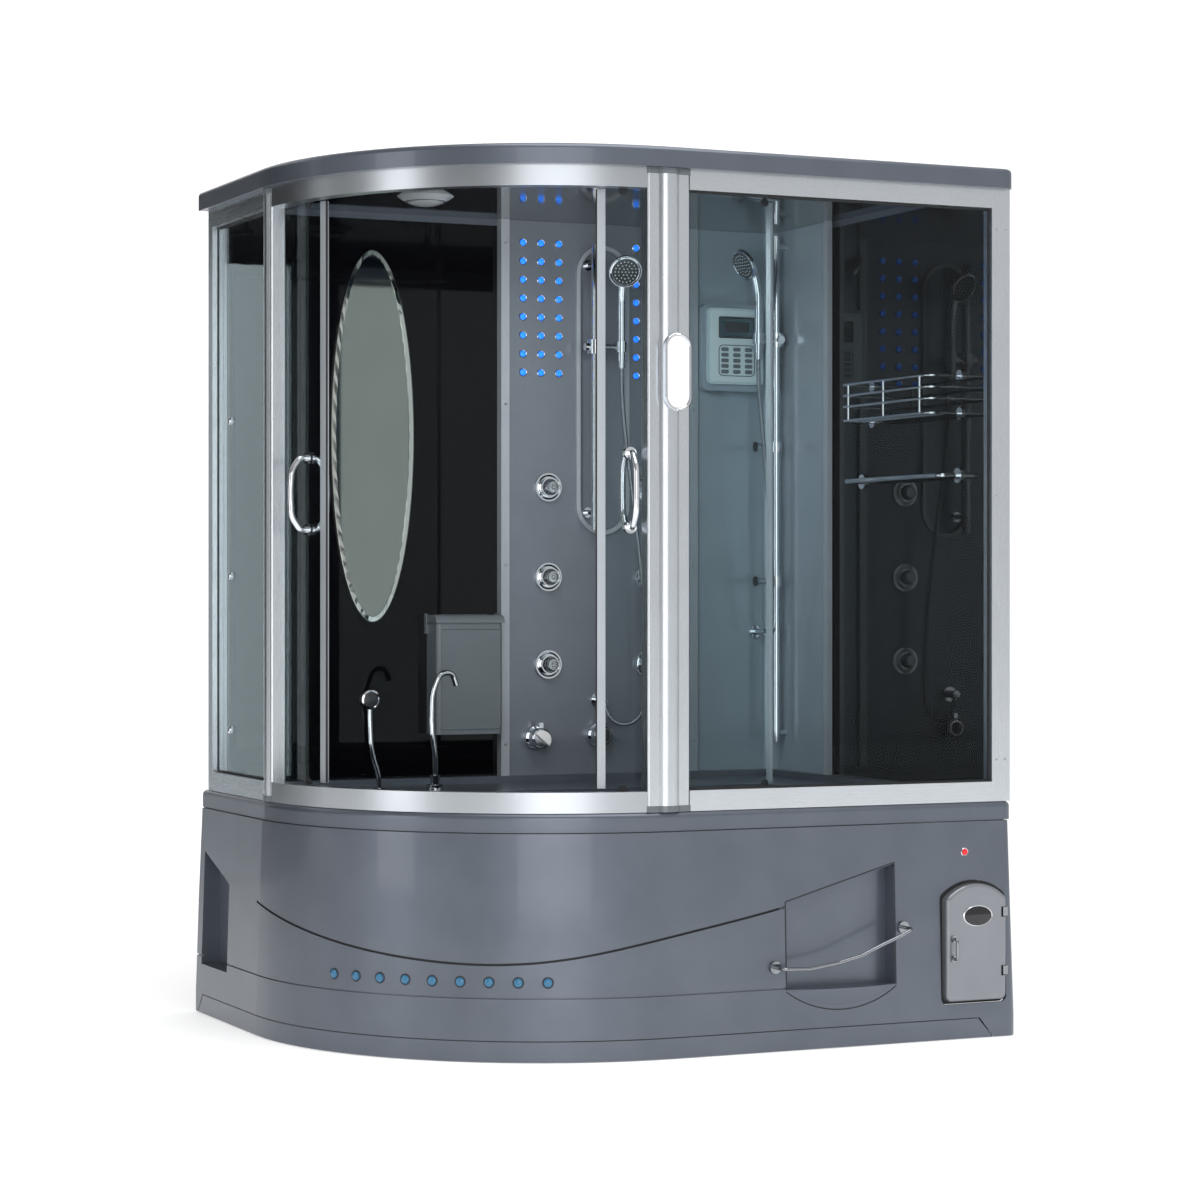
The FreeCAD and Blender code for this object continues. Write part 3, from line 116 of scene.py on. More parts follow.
# %% One opaque finish
def fresh(name):
    """A new material and its empty node tree."""
    mat = bpy.data.materials.new(name)
    mat.use_nodes = True
    mat.node_tree.nodes.clear()
    return mat, mat.node_tree


def finish(name, colour, metallic=0.0, roughness=0.3, swing=0.06, grain_mm=4.0,
           stretch=(1, 1, 1), bump_mm=0.01, shade=None, tone_mm=120.0, coat=0.0, ior=1.5,
           glow=0.0, centre=None):
    """An opaque material whose surface varies at a stated grain size.

    With a centre, the grain runs round that upright axis instead of along X.
    """
    mat, tree = fresh(name)
    source = add(tree, "ShaderNodeTexCoord")
    place = source.outputs["Object"]
    if centre:
        away = add(tree, "ShaderNodeVectorMath", [(0, centre), (1, place)],
                   operation="SUBTRACT")
        parts = add(tree, "ShaderNodeSeparateXYZ", [("Vector", away)])
        turn = add(tree, "ShaderNodeMath", [(0, parts.outputs["X"]), (1, parts.outputs["Y"])],
                   operation="ARCTAN2")
        place = add(tree, "ShaderNodeCombineXYZ", [("X", turn), ("Z", parts.outputs["Z"])])
    along = add(tree, "ShaderNodeMapping", [("Vector", place), ("Scale", stretch)])
    grain = add(tree, "ShaderNodeTexNoise",
                [("Vector", along), ("Scale", 1000.0 / grain_mm), ("Detail", 3.0),
                 ("Roughness", 0.55)])
    spread = add(tree, "ShaderNodeMapRange",
                 [("Value", grain), ("From Min", 0.3), ("From Max", 0.7),
                  ("To Min", max(roughness - swing, 0.01)), ("To Max", roughness + swing)])
    slow = add(tree, "ShaderNodeTexNoise",
               [("Vector", source.outputs["Object"]), ("Scale", 1000.0 / tone_mm),
                ("Detail", 2.0)])
    mixed = add(tree, "ShaderNodeMix",
                [(0, slow), (6, linear(colour)), (7, linear(shade or colour))],
                data_type="RGBA")
    bump = add(tree, "ShaderNodeBump",
               [("Height", grain), ("Strength", 1.0), ("Distance", bump_mm / 1000.0)])
    shader = add(tree, "ShaderNodeBsdfPrincipled",
                 [("Base Color", mixed.outputs[2]), ("Metallic", metallic),
                  ("Roughness", spread), ("Normal", bump), ("Coat Weight", coat),
                  ("Coat Roughness", 0.06), ("IOR", ior),
                  ("Emission Color", linear(colour)), ("Emission Strength", glow)])
    add(tree, "ShaderNodeOutputMaterial", [("Surface", shader)])
    return mat


def dress(material, *names):
    """Give CAD nodes one material, in the slots they already have."""
    for name in names:
        for slot in NODES[name].material_slots:
            slot.material = material


# %% [markdown]
# The apron, tub, roof, column and corner panel are acrylic sheet, vacuum formed and backed
# with fibreglass, in a grey with a fine metallic flake. Light gives it a soft wide highlight
# from the flake and a sharp one from the clear top layer. The flake is a fifth of a
# millimetre, far too fine for the picture, so it is drawn coarser.

# %% Acrylic
acrylic = finish("metallic_grey_acrylic", "#636973", metallic=0.7, roughness=0.36,
                 swing=0.04, grain_mm=1.8, bump_mm=0.006, shade="#555B65", coat=0.3)
column_acrylic = finish("metallic_grey_acrylic_column", "#757C84", metallic=0.45,
                        roughness=0.3, swing=0.04, grain_mm=1.8, bump_mm=0.006,
                        shade="#697079", coat=0.35)
panel_acrylic = finish("pale_grey_acrylic_corner", "#8B97A0", metallic=0.25, roughness=0.24,
                       swing=0.04, grain_mm=1.8, bump_mm=0.005, shade="#7B8791", coat=0.4)
dress(acrylic, "apron", "plinth_panel", "tub_shell", "roof")
dress(column_acrylic, "main_column")
dress(panel_acrylic, "corner_panel")

# %% [markdown]
# Posts, rails, tracks and profiles are extruded aluminium, brushed along their length and
# anodised in a satin natural tone. The brushing stretches highlights across the bar. It runs
# up the posts, along the straight rails, and round the curved ones, so each gets its own
# stretch of the noise. The curved rails and the doors' tracks are drawn a darker colour, as
# painted shade. The slim edges of the doors and the column are powder coated.

# %% Anodised aluminium
BRUSHED = 0.01          # the share of the noise that is left along the brushing


def aluminium(way, colour, shade, stretch, roughness=0.28, centre=None):
    """Satin anodised aluminium, brushed one way."""
    return finish(f"satin_anodised_aluminium_{way}", colour, metallic=1.0, shade=shade,
                  roughness=roughness, swing=0.02, grain_mm=1.4, stretch=stretch,
                  bump_mm=0.0015, centre=centre)


upright_aluminium = aluminium("upright", "#CCD1D6", "#C2C7CC", (1, 1, BRUSHED))
level_aluminium = aluminium("level", "#CCD1D6", "#C2C7CC", (BRUSHED, BRUSHED, 1))
# The curved aluminium's darker colour is painted shade.
shaded_curved_aluminium = aluminium("curved", "#B9BEC3", "#AFB4B9", (BRUSHED, 1, 1), 0.3,
                             (-0.08, 0.163, 0.0))
inner_aluminium = finish("powder_coated_aluminium_trim", "#A4AAAF", metallic=0.45,
                         roughness=0.3, swing=0.03, grain_mm=1.4, stretch=(1, 1, BRUSHED),
                         bump_mm=0.0015, shade="#989EA4")
dress(upright_aluminium, "post_left", "post_centre", "wall_profiles", "post_plate")
dress(inner_aluminium, "column_trims", "door_left_stiles", "door_right_stiles")
dress(level_aluminium, "straight_rails")
dress(shaded_curved_aluminium, "curved_rails", "door_tracks")

# %% [markdown]
# Bars, handles, hand showers, taps and knobs are brass under bright chrome, polished before
# plating. It is nearly a mirror, with the faint ripple that polishing leaves. The small
# fittings on the apron have a duller chrome, drawn in a darker colour as painted shade.

# %% Chrome, steel and the hidden metals
chrome = finish("polished_chrome", "#DADCE0", metallic=1.0, roughness=0.07, swing=0.03,
                grain_mm=14.0, bump_mm=0.02, shade="#D0D3D8")
# This chrome's darker colour is painted shade; its higher roughness is the real duller finish.
painted_shade_chrome = finish("satin_chrome_painted_shade", "#8F9297", metallic=1.0, roughness=0.16, swing=0.04,
                    grain_mm=14.0, bump_mm=0.02, shade="#84878C")
dress(painted_shade_chrome, "apron_rail", "cooler_hinges", "cooler_latch")
dress(chrome, "door_left_handle", "door_right_handle", "body_jets",
      "slide_rails", "slider_main", "slider_side", "handset_main", "handset_side",
      "wall_shelf", "towel_rail", "hose_outlets", "tub_spout", "deck_tap", "nozzle_upper",
      "nozzle_lower", "mixer_knob_left", "mixer_knob_centre")
zinc = finish("zinc_plated_steel_tube", "#9FA3A8", metallic=1.0, roughness=0.42, swing=0.1,
              grain_mm=9.0, bump_mm=0.02, shade="#8B9096")
stainless = finish("brushed_stainless_tank", "#B4B6B8", metallic=1.0, roughness=0.34,
                   swing=0.08, grain_mm=0.8, stretch=(0.03, 1, 1), shade="#A8ABAE")
brass = finish("turned_brass", "#B8924A", metallic=1.0, roughness=0.25,
               grain_mm=0.8, stretch=(0.1, 0.1, 1), shade="#A6833F")
dress(zinc, "base_frame")
dress(stainless, "steam_generator")
dress(brass, "water_inlets")

# %% [markdown]
# The plastics are moulded: white polypropylene for the trap and the cooler's liner, black
# rubber for the feet and the doors' wheels, silver lacquered ABS for the cooler's leaf, a
# mid grey ABS for the storage box, a paler one for the control panel, and grey opal
# polycarbonate for the ceiling light.

# %% Plastics
white_plastic = finish("white_moulded_polypropylene", "#D9DAD8", roughness=0.45, swing=0.08,
                       grain_mm=1.2, bump_mm=0.03, shade="#CFD0CE")
rubber = finish("black_moulded_rubber", "#17181A", roughness=0.7, swing=0.1, grain_mm=1.0,
                bump_mm=0.05, shade="#1F2022")
silver_lacquer = finish("silver_lacquered_abs", "#84878D", metallic=0.6, roughness=0.32,
                        swing=0.05, grain_mm=1.5, shade="#787B81", coat=0.3)
grey_abs = finish("mid_grey_moulded_abs", "#5C6368", grain_mm=1.0, bump_mm=0.02,
                  shade="#545B60", coat=0.2)
panel_abs = finish("teal_grey_membrane_abs", "#A9B9BC", roughness=0.38, swing=0.05,
                   grain_mm=0.8, bump_mm=0.02, shade="#9FB0B4")
opal = finish("grey_opal_polycarbonate", "#85898C", roughness=0.35, swing=0.04,
              grain_mm=2.0, shade="#7C8083", coat=0.2)
dress(white_plastic, "waste_trap", "cooler_liner")
dress(rubber, "levelling_feet", "door_left_rollers", "door_right_rollers")
dress(silver_lacquer, "cooler_door")
dress(grey_abs, "storage_box", "storage_lid")
dress(panel_abs, "control_panel")
dress(opal, "ceiling_light")

# %% [markdown]
# The walls are black back-painted safety glass: the eye sees only the polished front face
# and what it mirrors. The mirror is silvered glass.

# %% Black glass and mirror
black_glass = finish("black_back_painted_glass", "#060608", roughness=0.03, swing=0.01,
                     grain_mm=400.0, shade="#08080A", ior=1.32)
silvering = finish("silvered_mirror_glass", "#A0A39D", metallic=1.0, roughness=0.04,
                   swing=0.01, grain_mm=400.0, shade="#989A94")
dress(black_glass, "back_wall", "right_wall")
dress(silvering, "mirror")

# %% [markdown]
# The panes are 6 mm clear tempered glass with hardly any tint. Real refraction in
# such thin flat glass moves nothing that the eye can see, but it would keep the lamps from
# lighting the cabin. So the pane lets light straight through, tinted, and adds a mirror
# share that grows towards a grazing view, by Schlick's rule. A Fresnel node can't give it:
# it takes a pane's far face for light that leaves glass, and makes a full mirror of it.

# %% Clear glass
glass, glass_tree = fresh("clear_tempered_glass")
pane_place = add(glass_tree, "ShaderNodeTexCoord")
pane_ripple = add(glass_tree, "ShaderNodeTexNoise",
                  [("Vector", pane_place.outputs["Object"]), ("Scale", 1000.0 / 300.0)])
pane_bump = add(glass_tree, "ShaderNodeBump",
                [("Height", pane_ripple), ("Distance", 0.0002)])
pane_through = add(glass_tree, "ShaderNodeBsdfTransparent", [("Color", linear("#F5F9FA"))])
pane_mirror = add(glass_tree, "ShaderNodeBsdfPrincipled",
                  [("Base Color", linear("#E6EEEE")), ("Metallic", 1.0),
                   ("Roughness", 0.02), ("Normal", pane_bump)])
pane_view = add(glass_tree, "ShaderNodeLayerWeight", [("Blend", 0.5)])
pane_steep = add(glass_tree, "ShaderNodeMath", [(0, pane_view.outputs["Facing"]), (1, 5.0)],
                 operation="POWER")
pane_share = add(glass_tree, "ShaderNodeMapRange",
                 [("Value", pane_steep), ("To Min", 0.008), ("To Max", 1.0)])
pane_mix = add(glass_tree, "ShaderNodeMixShader",
               [(0, pane_share), (1, pane_through), (2, pane_mirror)])
add(glass_tree, "ShaderNodeOutputMaterial", [("Surface", pane_mix)])
dress(glass, "glass_front", "glass_side", "door_left_glass", "door_right_glass")

# %% [markdown]
# Lamp lenses are clear acrylic dyed blue over a small lamp, and one is red. The lamps are
# on, faintly: the lens glows a little and still shows a highlight.


# %% Lamp lenses
def lens(name, colour, glow):
    """Dyed acrylic over a lit lamp."""
    mat, tree = fresh(name)
    source = add(tree, "ShaderNodeTexCoord")
    grain = add(tree, "ShaderNodeTexNoise",
                [("Vector", source.outputs["Object"]), ("Scale", 1000.0 / 3.0)])
    spread = add(tree, "ShaderNodeMapRange",
                 [("Value", grain), ("To Min", 0.1), ("To Max", 0.2)])
    shader = add(tree, "ShaderNodeBsdfPrincipled",
                 [("Base Color", linear(colour)), ("Roughness", spread), ("IOR", 1.49),
                  ("Emission Color", linear(colour)), ("Emission Strength", glow)])
    add(tree, "ShaderNodeOutputMaterial", [("Surface", shader)])
    return mat


blue_lens = lens("dyed_blue_acrylic_lens", "#1F6FE0", 1.1)
pale_blue_lens = lens("dyed_steel_blue_lens", "#2F6484", 0.03)
red_lens = lens("dyed_red_acrylic_lens", "#C0202A", 0.3)
dress(blue_lens, "led_lamps")
dark_plastic = finish("dark_grey_moulded_plastic", "#2E3034", roughness=0.4,
                      grain_mm=1.0, bump_mm=0.02, shade="#27292C")
black_acrylic = finish("gloss_black_acrylic", "#0C0C10", roughness=0.08, swing=0.03,
                       grain_mm=30.0, shade="#101015", coat=0.3)
white_cap = finish("white_moulded_cap", "#E4E4E2", swing=0.05, grain_mm=1.0,
                   shade="#DBDBD8", coat=0.2)
lcd = finish("liquid_crystal_display", "#33505C", roughness=0.12, swing=0.03, grain_mm=0.5,
             bump_mm=0.002, shade="#243338", coat=0.5)
gasket = finish("black_soft_gasket", "#141517", roughness=0.6, swing=0.1, grain_mm=1.5,
                bump_mm=0.03, shade="#1B1C1F")
key_pad = finish("pale_rubber_key", "#B9C6C8", roughness=0.5, grain_mm=0.8,
                 bump_mm=0.02, shade="#AFBDC0")

# %% [markdown]
# A shower hose is a steel strip wound into a spiral over an inner tube. It bends easily but
# never kinks, and its ridges catch a row of small highlights. First comes its route, a
# smooth NURBS line from the hand shower down to the wall outlet. Geometry Nodes then carry
# a round section along that line, with a radius that swells and shrinks once per winding.

# %% Hose routes
SHIFT = Vector((0, 0.023, 0))
HOSE_D = 0.013
MAIN_ROUTE = [(0.330, 0.540, 1.7549), (0.330, 0.540, 1.690), (0.339, 0.541, 1.590),
              (0.354, 0.543, 1.480), (0.370, 0.545, 1.370), (0.386, 0.547, 1.255),
              (0.400, 0.549, 1.140), (0.410, 0.552, 1.030), (0.415, 0.555, 0.930),
              (0.414, 0.558, 0.860), (0.410, 0.561, 0.806), (0.399, 0.565, 0.7723),
              (0.3706, 0.569, 0.7516), (0.3354, 0.573, 0.7516), (0.307, 0.577, 0.7723),
              (0.296, 0.580, 0.8058)]
SIDE_ROUTE = [(0.742, 0.500, 1.7899), (0.742, 0.500, 1.730), (0.746, 0.494, 1.650),
              (0.753, 0.487, 1.545), (0.760, 0.482, 1.440), (0.767, 0.479, 1.330),
              (0.773, 0.479, 1.230), (0.778, 0.483, 1.150), (0.781, 0.487, 1.105),
              (0.782, 0.490, 1.066), (0.785, 0.4974, 1.0385), (0.788, 0.5175, 1.0184),
              (0.790, 0.543, 1.0115)]


def route_curve(name, points):
    """A smooth open line through the route's points, with no thickness."""
    data = bpy.data.curves.new(name, "CURVE")
    data.dimensions = "3D"
    spline = data.splines.new("NURBS")
    spline.points.add(len(points) - 1)
    for point, place in zip(spline.points, points):
        point.co = (*(Vector(place) + SHIFT), 1.0)
    spline.order_u = 3
    spline.use_endpoint_u = True
    spline.resolution_u = 24
    return shown(name, data)


def sockets_in(tree, **kinds):
    """Named inputs of a node tree, each of a kind."""
    for name, kind in kinds.items():
        tree.interface.new_socket(name=name, in_out="INPUT", socket_type=f"NodeSocket{kind}")
    tree.interface.new_socket(name="Geometry", in_out="OUTPUT",
                              socket_type="NodeSocketGeometry")


def grow(name, tree, material, **values):
    """Run a node tree on an empty object and keep its result as a plain mesh."""
    piece = shown(name, bpy.data.meshes.new(name))
    modifier = piece.modifiers.new("grow", "NODES")
    modifier.node_group = tree
    values["Finish"] = material
    for item in tree.interface.items_tree:
        if item.in_out == "INPUT":
            modifier[item.identifier] = values[item.name]
    depsgraph = bpy.context.evaluated_depsgraph_get()
    result = bpy.data.meshes.new_from_object(piece.evaluated_get(depsgraph))
    piece.modifiers.remove(modifier)
    piece.data = result
    print(name, "has", len(result.polygons), "faces")
    return piece


# %% Wound hose tree
hose_tree = bpy.data.node_groups.new("wound_hose", "GeometryNodeTree")
sockets_in(hose_tree, Line="Object", Radius="Float", Winding="Float", Depth="Float",
           Finish="Material")
start = add(hose_tree, "NodeGroupInput")
line_info = add(hose_tree, "GeometryNodeObjectInfo", [("Object", start.outputs["Line"])])
RINGS_A_TURN = 6.0
ring_step = add(hose_tree, "ShaderNodeMath",
                [(0, start.outputs["Winding"]), (1, RINGS_A_TURN)], operation="DIVIDE")
dense = add(hose_tree, "GeometryNodeResampleCurve",
            [("Curve", line_info.outputs["Geometry"]), ("Length", ring_step)], mode="LENGTH")
travelled = add(hose_tree, "GeometryNodeSplineParameter")
turn = add(hose_tree, "ShaderNodeMath",
           [(0, travelled.outputs["Length"]), (1, start.outputs["Winding"])],
           operation="DIVIDE")
angle = add(hose_tree, "ShaderNodeMath", [(0, turn), (1, 2 * math.pi)],
            operation="MULTIPLY")
wave = add(hose_tree, "ShaderNodeMath", [(0, angle)], operation="COSINE")
swell = add(hose_tree, "ShaderNodeMath",
            [(0, wave), (1, start.outputs["Depth"]), (2, start.outputs["Radius"])],
            operation="MULTIPLY_ADD")
inner = add(hose_tree, "ShaderNodeMath", [(0, swell), (1, start.outputs["Depth"])],
            operation="SUBTRACT")
section = add(hose_tree, "GeometryNodeCurvePrimitiveCircle",
              [("Resolution", 12), ("Radius", 1.0)])
tube = add(hose_tree, "GeometryNodeCurveToMesh",
           [("Curve", dense), ("Profile Curve", section), ("Scale", inner),
            ("Fill Caps", True)])
smooth = add(hose_tree, "GeometryNodeSetShadeSmooth", [("Geometry", tube)])
coloured = add(hose_tree, "GeometryNodeSetMaterial",
               [("Geometry", smooth), ("Material", start.outputs["Finish"])])
whole = add(hose_tree, "GeometryNodeRealizeInstances", [("Geometry", coloured)])
add(hose_tree, "NodeGroupOutput", [("Geometry", whole)])

hose_steel = finish("wound_hose_steel", "#C4C7CC", metallic=1.0, roughness=0.16, swing=0.05,
                    grain_mm=3.0, shade="#B6BAC0")

# %% [markdown]
# Each hose hangs from a hand shower on a slider, with its foot at the wall outlet, and on
# the cabin it bends as the slider goes up and down. Here each is drawn once, along its
# route, in place of the model's plain hose.

# %% Hoses
for hose_name, route, slider in (("hose_main", MAIN_ROUTE, "slider_main"),
                                 ("hose_side", SIDE_ROUTE, "slider_side")):
    line = route_curve(f"{hose_name}_line", route)
    line_mesh = bpy.data.meshes.new_from_object(
        line.evaluated_get(bpy.context.evaluated_depsgraph_get()))
    wound = grow(f"{hose_name}_wound", hose_tree, hose_steel, Line=line, Radius=HOSE_D / 2,
                 Winding=0.0046, Depth=0.0005)
    bpy.data.objects.remove(line)
    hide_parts(hose_name)
    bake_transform(wound)

# %% [markdown]
# The small parts come next. Most are turned or pressed: a ring of points is lifted, widened
# or pulled in step by step, and the skin between the steps is the part. Sizes here are in
# millimetres in the drawing's plan, and `stand` puts a part into the cabin's frame.


# %% Pressed and turned forms
def as_piece(name, bm, material):
    """A finished mesh as an object, smooth except at its real edges."""
    bmesh.ops.recalc_face_normals(bm, faces=bm.faces)
    data = bpy.data.meshes.new(name)
    bm.to_mesh(data)
    bm.free()
    data.materials.append(material)
    data.polygons.foreach_set("use_smooth", [True] * len(data.polygons))
    data.set_sharp_from_angle(angle=math.radians(32))
    return shown(name, data)


def loft(bm, rings, hollow=False):
    """The skin over closed rings of points in millimetres; hollow joins last to first."""
    made = [[bm.verts.new(Vector(p) / 1000) for p in ring] for ring in rings]
    pairs = list(zip(made, made[1:])) + ([(made[-1], made[0])] if hollow else [])
    for low, high in pairs:
        for k in range(len(low)):
            after = (k + 1) % len(low)
            bm.faces.new((low[k], low[after], high[after], high[k]))
    if not hollow:
        bm.faces.new(made[0][::-1])
        bm.faces.new(made[-1])


def turned(name, profile, material, sides=32, hollow=False, across=(1, 1), flute=0.0):
    """A lathe form from (radius, height) pairs; across stretches it into an oval.

    A flute depth presses every second line of points in, as on a knurled grip.
    """
    bm = bmesh.new()
    around = [(2 * math.pi * k / sides, flute * (k % 2)) for k in range(sides)]
    loft(bm, [[((r - min(bite, r / 3)) * across[0] * math.cos(a),
                (r - min(bite, r / 3)) * across[1] * math.sin(a), h) for a, bite in around]
              for r, h in profile], hollow)
    return as_piece(name, bm, material)


def rounded_outline(half_w, half_h, corner, steps=6):
    """A rectangle with round corners, as points."""
    points = []
    for quarter, (sx, sy) in enumerate(((1, 1), (-1, 1), (-1, -1), (1, -1))):
        for k in range(steps + 1):
            a = math.radians(90 * (quarter + k / steps))
            points.append((sx * (half_w - corner) + corner * math.cos(a),
                           sy * (half_h - corner) + corner * math.sin(a)))
    return points


def plate(name, half_w, half_h, corner, layers, material, hollow=False):
    """A pressed plate from (inset, height) layers of one rounded outline."""
    bm = bmesh.new()
    loft(bm, [[(x, y, h) for x, y in rounded_outline(
        half_w - inset, half_h - inset, max(corner - inset, 0.3))] for inset, h in layers],
         hollow)
    return as_piece(name, bm, material)


def stand(piece, place, aim=(0, -1, 0), body="cabin"):
    """Turn a part's own Z to an aim, move it to its place, and let it ride on a body."""
    turn = Vector(aim).to_track_quat("Z", "Y").to_matrix().to_4x4()
    if tuple(aim) == (0, -1, 0):
        turn = Matrix.Rotation(math.radians(90), 4, "X")
    if tuple(aim) == (0, 0, 1):
        turn = Matrix.Identity(4)
    piece.data.transform(Matrix.Translation(Vector(place) / 1000 + SHIFT) @ turn)
    piece.data.update()
    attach(piece, body)


def in_place(name, bm, material, body="cabin"):
    """A part whose mesh is already drawn at its place in the plan."""
    stand(as_piece(name, bm, material), (0, 0, 0), (0, 0, 1), body)


# %% [markdown]
# What repeats is stamped by one node tree. It takes a set of spots and one form, turns the
# form at each spot to look away from a hub, and joins the copies. A hub on the curve's axis
# fans the apron's lamps out; a hub far behind a wall makes every copy face straight out.

# %% Stamping tree
stamp_tree = bpy.data.node_groups.new("stamped_fittings", "GeometryNodeTree")
sockets_in(stamp_tree, Spots="Object", Form="Object", Hub="Vector", Finish="Material")
given = add(stamp_tree, "NodeGroupInput")
spots_info = add(stamp_tree, "GeometryNodeObjectInfo", [("Object", given.outputs["Spots"])])
form_info = add(stamp_tree, "GeometryNodeObjectInfo", [("Object", given.outputs["Form"])])
here = add(stamp_tree, "GeometryNodeInputPosition")
outward = add(stamp_tree, "ShaderNodeVectorMath", [(0, here), (1, given.outputs["Hub"])],
              operation="SUBTRACT")
facing = add(stamp_tree, "FunctionNodeAlignRotationToVector", [("Vector", outward)],
             axis="Z")
stamped = add(stamp_tree, "GeometryNodeInstanceOnPoints",
              [("Points", spots_info.outputs["Geometry"]),
               ("Instance", form_info.outputs["Geometry"]), ("Rotation", facing)])
joined = add(stamp_tree, "GeometryNodeRealizeInstances", [("Geometry", stamped)])
finished = add(stamp_tree, "GeometryNodeSetMaterial",
               [("Geometry", joined), ("Material", given.outputs["Finish"])])
add(stamp_tree, "NodeGroupOutput", [("Geometry", finished)])


def stamp(name, form, spots, hub, body="cabin"):
    """Copies of a form at spots in millimetres, looking away from a hub, as one piece."""
    data = bpy.data.meshes.new(f"{name}_spots")
    data.from_pydata([Vector(p) / 1000 + SHIFT for p in spots], [], [])
    marks = shown(f"{name}_spots", data)
    piece = grow(name, stamp_tree, form.data.materials[0], Spots=marks, Form=form,
                 Hub=list(Vector(hub) / 1000 + SHIFT))
    bpy.data.objects.remove(marks)
    bpy.data.objects.remove(form)
    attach(piece, body)
    return piece


# %% [markdown]
# The column's 48 lamps each have a small domed lens in a chrome ring. The apron's nine have
# larger domes, and the cooler's indicator is red.

# %% Lamps
COLUMN_Y = 618
FAR = 500000
LED_SPOTS = [(x, COLUMN_Y - 3, 2105 - 52 * i) for x in (60, 115, 170, 410, 465, 520)
             for i in range(8)]
stamp("led_domes", turned("led_dome", [(9, 0), (8.7, 1.5), (7, 3), (4, 4), (0.4, 4.4)],
                          blue_lens, 20), LED_SPOTS, (300, FAR, 1900))
stamp("led_rings", turned("led_ring", [(9.3, -3), (9.3, 0.6), (10.4, 1), (11.8, -0.8),
                                       (12, -3)], chrome, 24, hollow=True),
      LED_SPOTS, (300, FAR, 1900))

ARC = (-80, 140)
GLASS_RADIUS = 750
LAMP_Z = 192


def on_arc(radius, angle, z):
    """A point round the quarter circle: angle 0 faces the front, 90 the left side."""
    a = math.radians(angle)
    return ARC[0] - radius * math.sin(a), ARC[1] - radius * math.cos(a), z


ARC_SPOTS = [on_arc(795.4, 64 - 5.11 * i, LAMP_Z) for i in range(9)]
lens_form = [(11, -10), (11, 1.4), (10, 3.4), (7, 5), (3.5, 5.8), (0.4, 6)]
lenses = stamp("apron_lenses", turned("apron_lens", lens_form, pale_blue_lens, 28),
               ARC_SPOTS, (*ARC, LAMP_Z))
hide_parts("apron_lamps")
stamp("apron_lens_rings", turned("apron_ring", [(11.2, -1.4), (11.2, 1.8), (12.4, 2.3),
                                                (14.2, 1), (14.6, -1.4)], dark_plastic, 28,
                                 hollow=True), ARC_SPOTS, (*ARC, LAMP_Z))
RED_LIGHT = (730, -646.5, 470)
red_light = turned("red_indicator", [(8, -10), (8, 1.6), (7, 3.4), (4, 4.4), (0.4, 4.8)],
                   red_lens, 24)
stand(red_light, RED_LIGHT)
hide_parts("apron_lamps")
stand(turned("red_indicator_ring", [(8.2, -1.2), (8.2, 1.6), (9.2, 2), (10.8, 0.6),
                                    (11, -1.2)], chrome, 24, hollow=True), RED_LIGHT)

# %% [markdown]
# A hand shower sprays through soft nubs in three rings, set in a grey plate under a chrome
# rim. The nubs lie in the plate's plane, which leans down into the cabin.


# %% Spray faces
def spray_face(name, holder, facing_way, body):
    """The plate, rim and nubs on a hand shower's head."""
    f = Vector(facing_way).normalized()
    head = Vector(holder) + Vector((0, 0, 212)) + f * 42
    aim = (f * 0.9 + Vector((0, 0, -0.45))).normalized()
    middle = head + aim * 13
    stand(turned(f"{name}_plate", [(38, -1), (38, 0.6), (36.5, 1.2), (0.4, 1.6)],
                 dark_plastic, 40), middle, aim, body)
    stand(turned(f"{name}_rim", [(38.4, -1), (38.4, 1.6), (40, 2.6), (43.5, 1.6), (45.6, -1)],
                 chrome, 48, hollow=True), middle, aim, body)
    turn = aim.to_track_quat("Z", "Y")
    spots = [middle + aim * 1.3]
    for count, radius in ((6, 10), (12, 20), (18, 30)):
        for k in range(count):
            a = 2 * math.pi * k / count
            spots.append(middle + aim * 1.2 + turn @ Vector(
                (radius * math.cos(a), radius * math.sin(a), 0)))
    stamp(f"{name}_nubs", turned(f"{name}_nub", [(2, 0), (1.8, 1.2), (1.1, 2), (0.3, 2.1)],
                                 key_pad, 10), spots, middle - aim * FAR, body)


spray_face("main_spray", (330, 540, 1815), (-0.25, -1, 0), "handset_main")
spray_face("side_spray", (742, 500, 1850), (-1, -0.15, 0), "handset_side")

JET_SPOTS = [(x, COLUMN_Y - 9, z) for x in (136, 445) for z in (1420, 1168, 922)]
JET_HUB = (300, FAR, 1170)
stamp("jet_beads", turned("jet_bead", [(30, -0.5), (30.4, 1.6), (32.4, 2.4), (35, 1.4),
                                       (35.6, -0.5)], chrome, 32, hollow=True),
      JET_SPOTS, JET_HUB)
stamp("jet_seals", turned("jet_seal", [(20.4, 11), (20.6, 12.8), (22.4, 13), (24, 11)],
                          gasket, 32, hollow=True), JET_SPOTS, JET_HUB)
stamp("jet_caps", turned("jet_cap", [(14, 23), (16.6, 24), (16.8, 33), (15.6, 35.4),
                                     (10, 36), (9, 34.4), (0.4, 34)], upright_aluminium, 48,
                         flute=1.1), JET_SPOTS, JET_HUB)
stamp("jet_nubs", turned("jet_nub", [(1.5, -1.5), (1.4, 0.8), (0.8, 1.3), (0.3, 1.4)],
                         gasket, 10),
      [(x + 5.4 * math.cos(k * math.pi / 3), 574.6, z + 5.4 * math.sin(k * math.pi / 3))
       for x, _, z in JET_SPOTS for k in range(6)], JET_HUB)

for nozzle, z in (("nozzle_upper", 1543), ("nozzle_lower", 1157)):
    stand(turned(f"{nozzle}_face", [(14.4, -0.4), (14.4, 1.2), (13, 2), (0.4, 2.4)], rubber,
                 28), (752, 538, z), (-1, 0, 0), nozzle)

# %% [markdown]
# The control panel is a printed membrane with a display and fifteen soft keys. Its legends
# are left bare.

